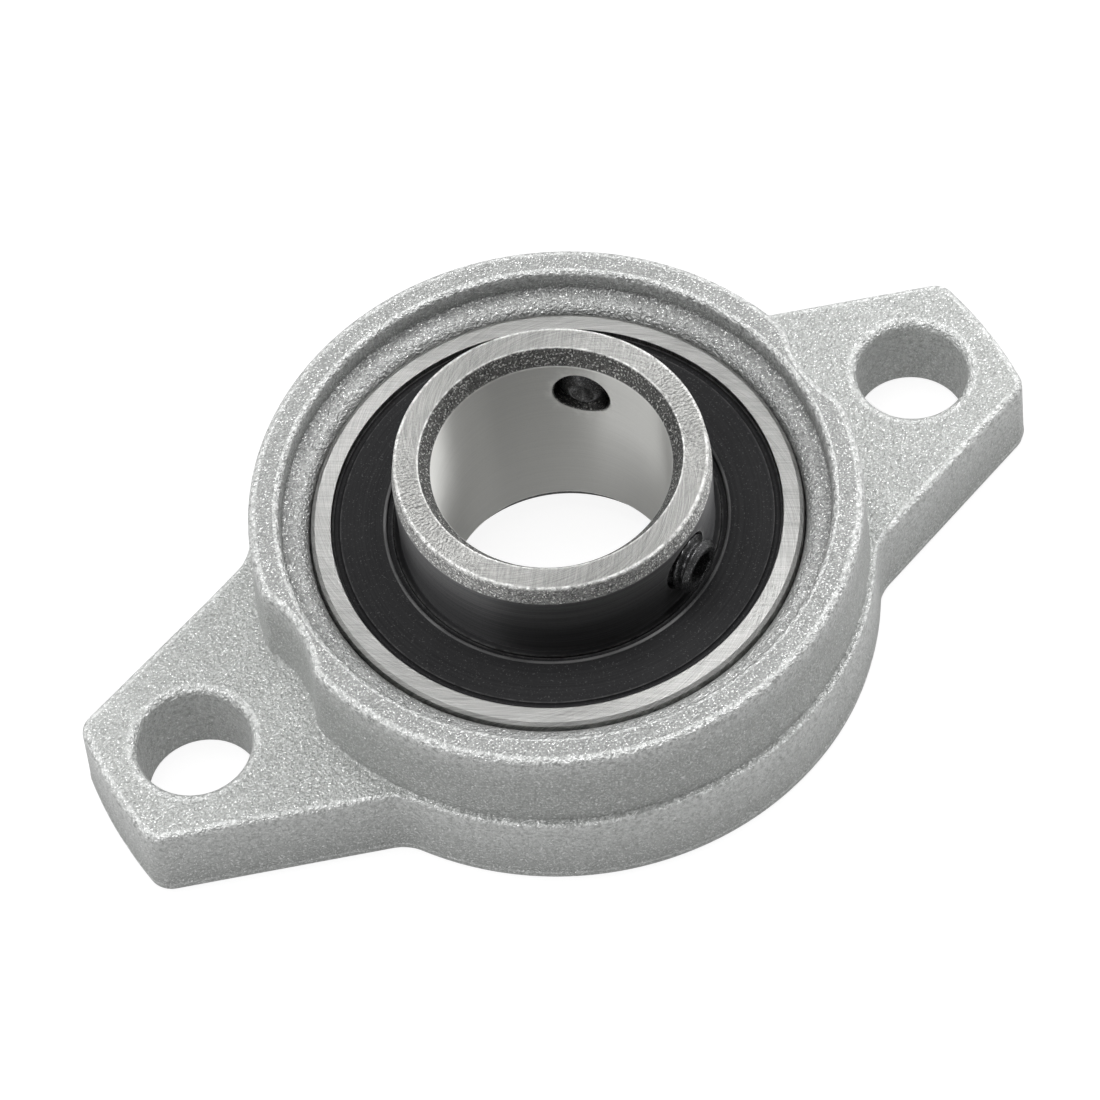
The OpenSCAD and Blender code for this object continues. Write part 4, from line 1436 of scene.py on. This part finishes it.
cut_set_screw = screw_tree()
screw_pieces = [grown(f"set_screw_cut_{k + 1}", screw_blank(), cut_set_screw,
                      {"Angle": math.radians(a), "Material": screw_steel}, sharp=30)
                for k, a in enumerate(screw_angles)]

# %% [markdown]
# ## The table
# The object lies on a white table that looks white to the camera only. To the lamps it is grey, and
# darker under the camera's own rays, so that the shadow of the object stays dark beside the white
# glow. In reflections it glows weakly, because the photograph's steel mirrors a grey table.

# %% Table
table_half, table_level = 3.0, -0.00005
seen_glow, mirrored_glow = 0.9, 0.31


def white_table():
    material = bpy.data.materials.new("white_table")
    material.use_nodes = True
    tree = material.node_tree
    tree.nodes.clear()
    table = add(tree, "ShaderNodeBsdfDiffuse", {"Color": (0.28, 0.28, 0.28, 1)}).outputs[0]
    shade = add(tree, "ShaderNodeBsdfDiffuse", {"Color": (0.18, 0.18, 0.18, 1)}).outputs[0]
    path = add(tree, "ShaderNodeLightPath").outputs
    seen = maths(tree, "MAXIMUM", path["Is Camera Ray"], path["Is Transmission Ray"])
    glow = maths(tree, "MAXIMUM", maths(tree, "MULTIPLY", seen, seen_glow),
                 maths(tree, "MULTIPLY", path["Is Glossy Ray"], mirrored_glow))
    light = add(tree, "ShaderNodeEmission", {"Color": (1, 1, 1, 1), "Strength": glow}).outputs[0]
    lit = add(tree, "ShaderNodeMixShader", {0: seen, 1: table, 2: shade}).outputs[0]
    both = add(tree, "ShaderNodeAddShader", {0: lit, 1: light}).outputs[0]
    add(tree, "ShaderNodeOutputMaterial", {"Surface": both})
    return material


def make_floor():
    mesh = bpy.data.meshes.new("table_top")
    corners = [(x * table_half, y * table_half, table_level) for x, y in ((-1, -1), (1, -1), (1, 1), (-1, 1))]
    mesh.from_pydata(corners, [], [(0, 1, 2, 3)])
    mesh.materials.append(white_table())
    floor = show("table_top", mesh)


make_floor()

# %% [markdown]
# ## The surroundings
# A picture of a studio could surround the bearing, but two numbers are enough. The background is
# white to the camera and weak to the object, so that tones are set by the lamps. In reflections it is
# brighter behind the bearing than in front, where a dark room lies behind a camera. That gives
# polished steel its dark bands.

# %% Surroundings
front_way = (-0.52, -0.85, 0.0)
weak_strength, behind_strength, front_strength = 0.42, 0.6, 0.18
behind_until, front_from = -0.3, 0.75


def make_world():
    world = bpy.data.worlds.new("studio")
    world.use_nodes = True
    bpy.context.scene.world = world
    tree = world.node_tree
    tree.nodes.clear()
    path = add(tree, "ShaderNodeLightPath").outputs
    way = add(tree, "ShaderNodeTexCoord").outputs["Generated"]
    front = add(tree, "ShaderNodeVectorMath", {0: way, 1: front_way}, operation="DOT_PRODUCT")
    surround = spread(tree, front.outputs["Value"], behind_until, front_from,
                      behind_strength, front_strength)
    weak, mirrored, white = (
        add(tree, "ShaderNodeBackground", {"Color": (1, 1, 1, 1), "Strength": strength}).outputs[0]
        for strength in (weak_strength, surround, 1.0))
    lit = add(tree, "ShaderNodeMixShader", {0: path["Is Glossy Ray"], 1: weak, 2: mirrored}).outputs[0]
    seen = maths(tree, "MAXIMUM", path["Is Camera Ray"], path["Is Transmission Ray"])
    all_rays = add(tree, "ShaderNodeMixShader", {0: seen, 1: lit, 2: white}).outputs[0]
    add(tree, "ShaderNodeOutputWorld", {"Surface": all_rays})


make_world()
bpy.context.scene.view_settings.view_transform = "Standard"
print("surroundings and plain view transform set")

# %% [markdown]
# ## Lamps
# Three panels: one high up and a little behind the bearing, whose reflection makes the flat tops
# pale, and a wide one on each side. Each is given by where it stands, how large it is and how bright
# its surface is, and its power follows from those.

# %% Lamps
lit_point = Vector((0, 0, 0.008))


def panel(name, spot, width, height, brightness):
    """A soft panel that faces the bearing, in metres, with the brightness of its surface."""
    lamp = bpy.data.lights.new(name, "AREA")
    lamp.shape = "RECTANGLE"
    lamp.size, lamp.size_y = width, height
    lamp.energy = brightness * math.pi * width * height
    stand = bpy.data.objects.new(name, lamp)
    bpy.context.scene.collection.objects.link(stand)
    aim = lit_point - Vector(spot)
    stand.matrix_world = Matrix.Translation(spot) @ aim.to_track_quat("-Z", "Y").to_matrix().to_4x4()
    print(name, round(lamp.energy, 3), "W")


panel("top_panel", spot=(0.0, 0.09, 0.50), width=0.27, height=0.24, brightness=6.4)
panel("left_panel", spot=(-0.37, 0.06, 0.29), width=0.48, height=0.22, brightness=2.4)
panel("right_panel", spot=(0.37, 0.06, 0.25), width=0.48, height=0.22, brightness=3.0)

# %% [markdown]
# ## Finishes on the pieces
# Every piece gets its finish, rides on its body of the packed model, and stands for the plain solid of
# the same place. The washers and the cage keep their plain solids, which have the right shape.

# %% Dress the pieces
def dress(piece, material, node, body):
    piece.data.materials.clear()
    piece.data.materials.append(material)
    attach(piece, body)
    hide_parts(node)


dress(housing_piece, cast_zinc, "housing", "housing")
dress(outer_ring_piece, ground_steel, "outer_ring", "outer")
dress(inner_ring_piece, dark_steel, "inner_ring", "inner")
dress(front_seal_piece, seal_rubber, "front_seal_rubber", "outer")
dress(rear_seal_piece, seal_rubber, "rear_seal_rubber", "outer")
dress(rivets_piece, sheet_steel, "cage_rivets", "cage")
for n, piece in enumerate(ball_pieces, 1):
    dress(piece, ball_steel, f"ball_{n}", f"ball_{n}")
for n, piece in enumerate(screw_pieces, 1):
    dress(piece, screw_steel, f"set_screw_{n}", f"screw_{n}")
plain_solids = ("front_seal_washer", "rear_seal_washer", "cage_front", "cage_rear")
for node in plain_solids:
    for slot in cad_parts[node].material_slots:
        slot.material = sheet_steel
print("dressed", 6 + len(ball_pieces) + len(screw_pieces), "pieces and", len(plain_solids), "plain solids")

# %% [markdown] ## The end
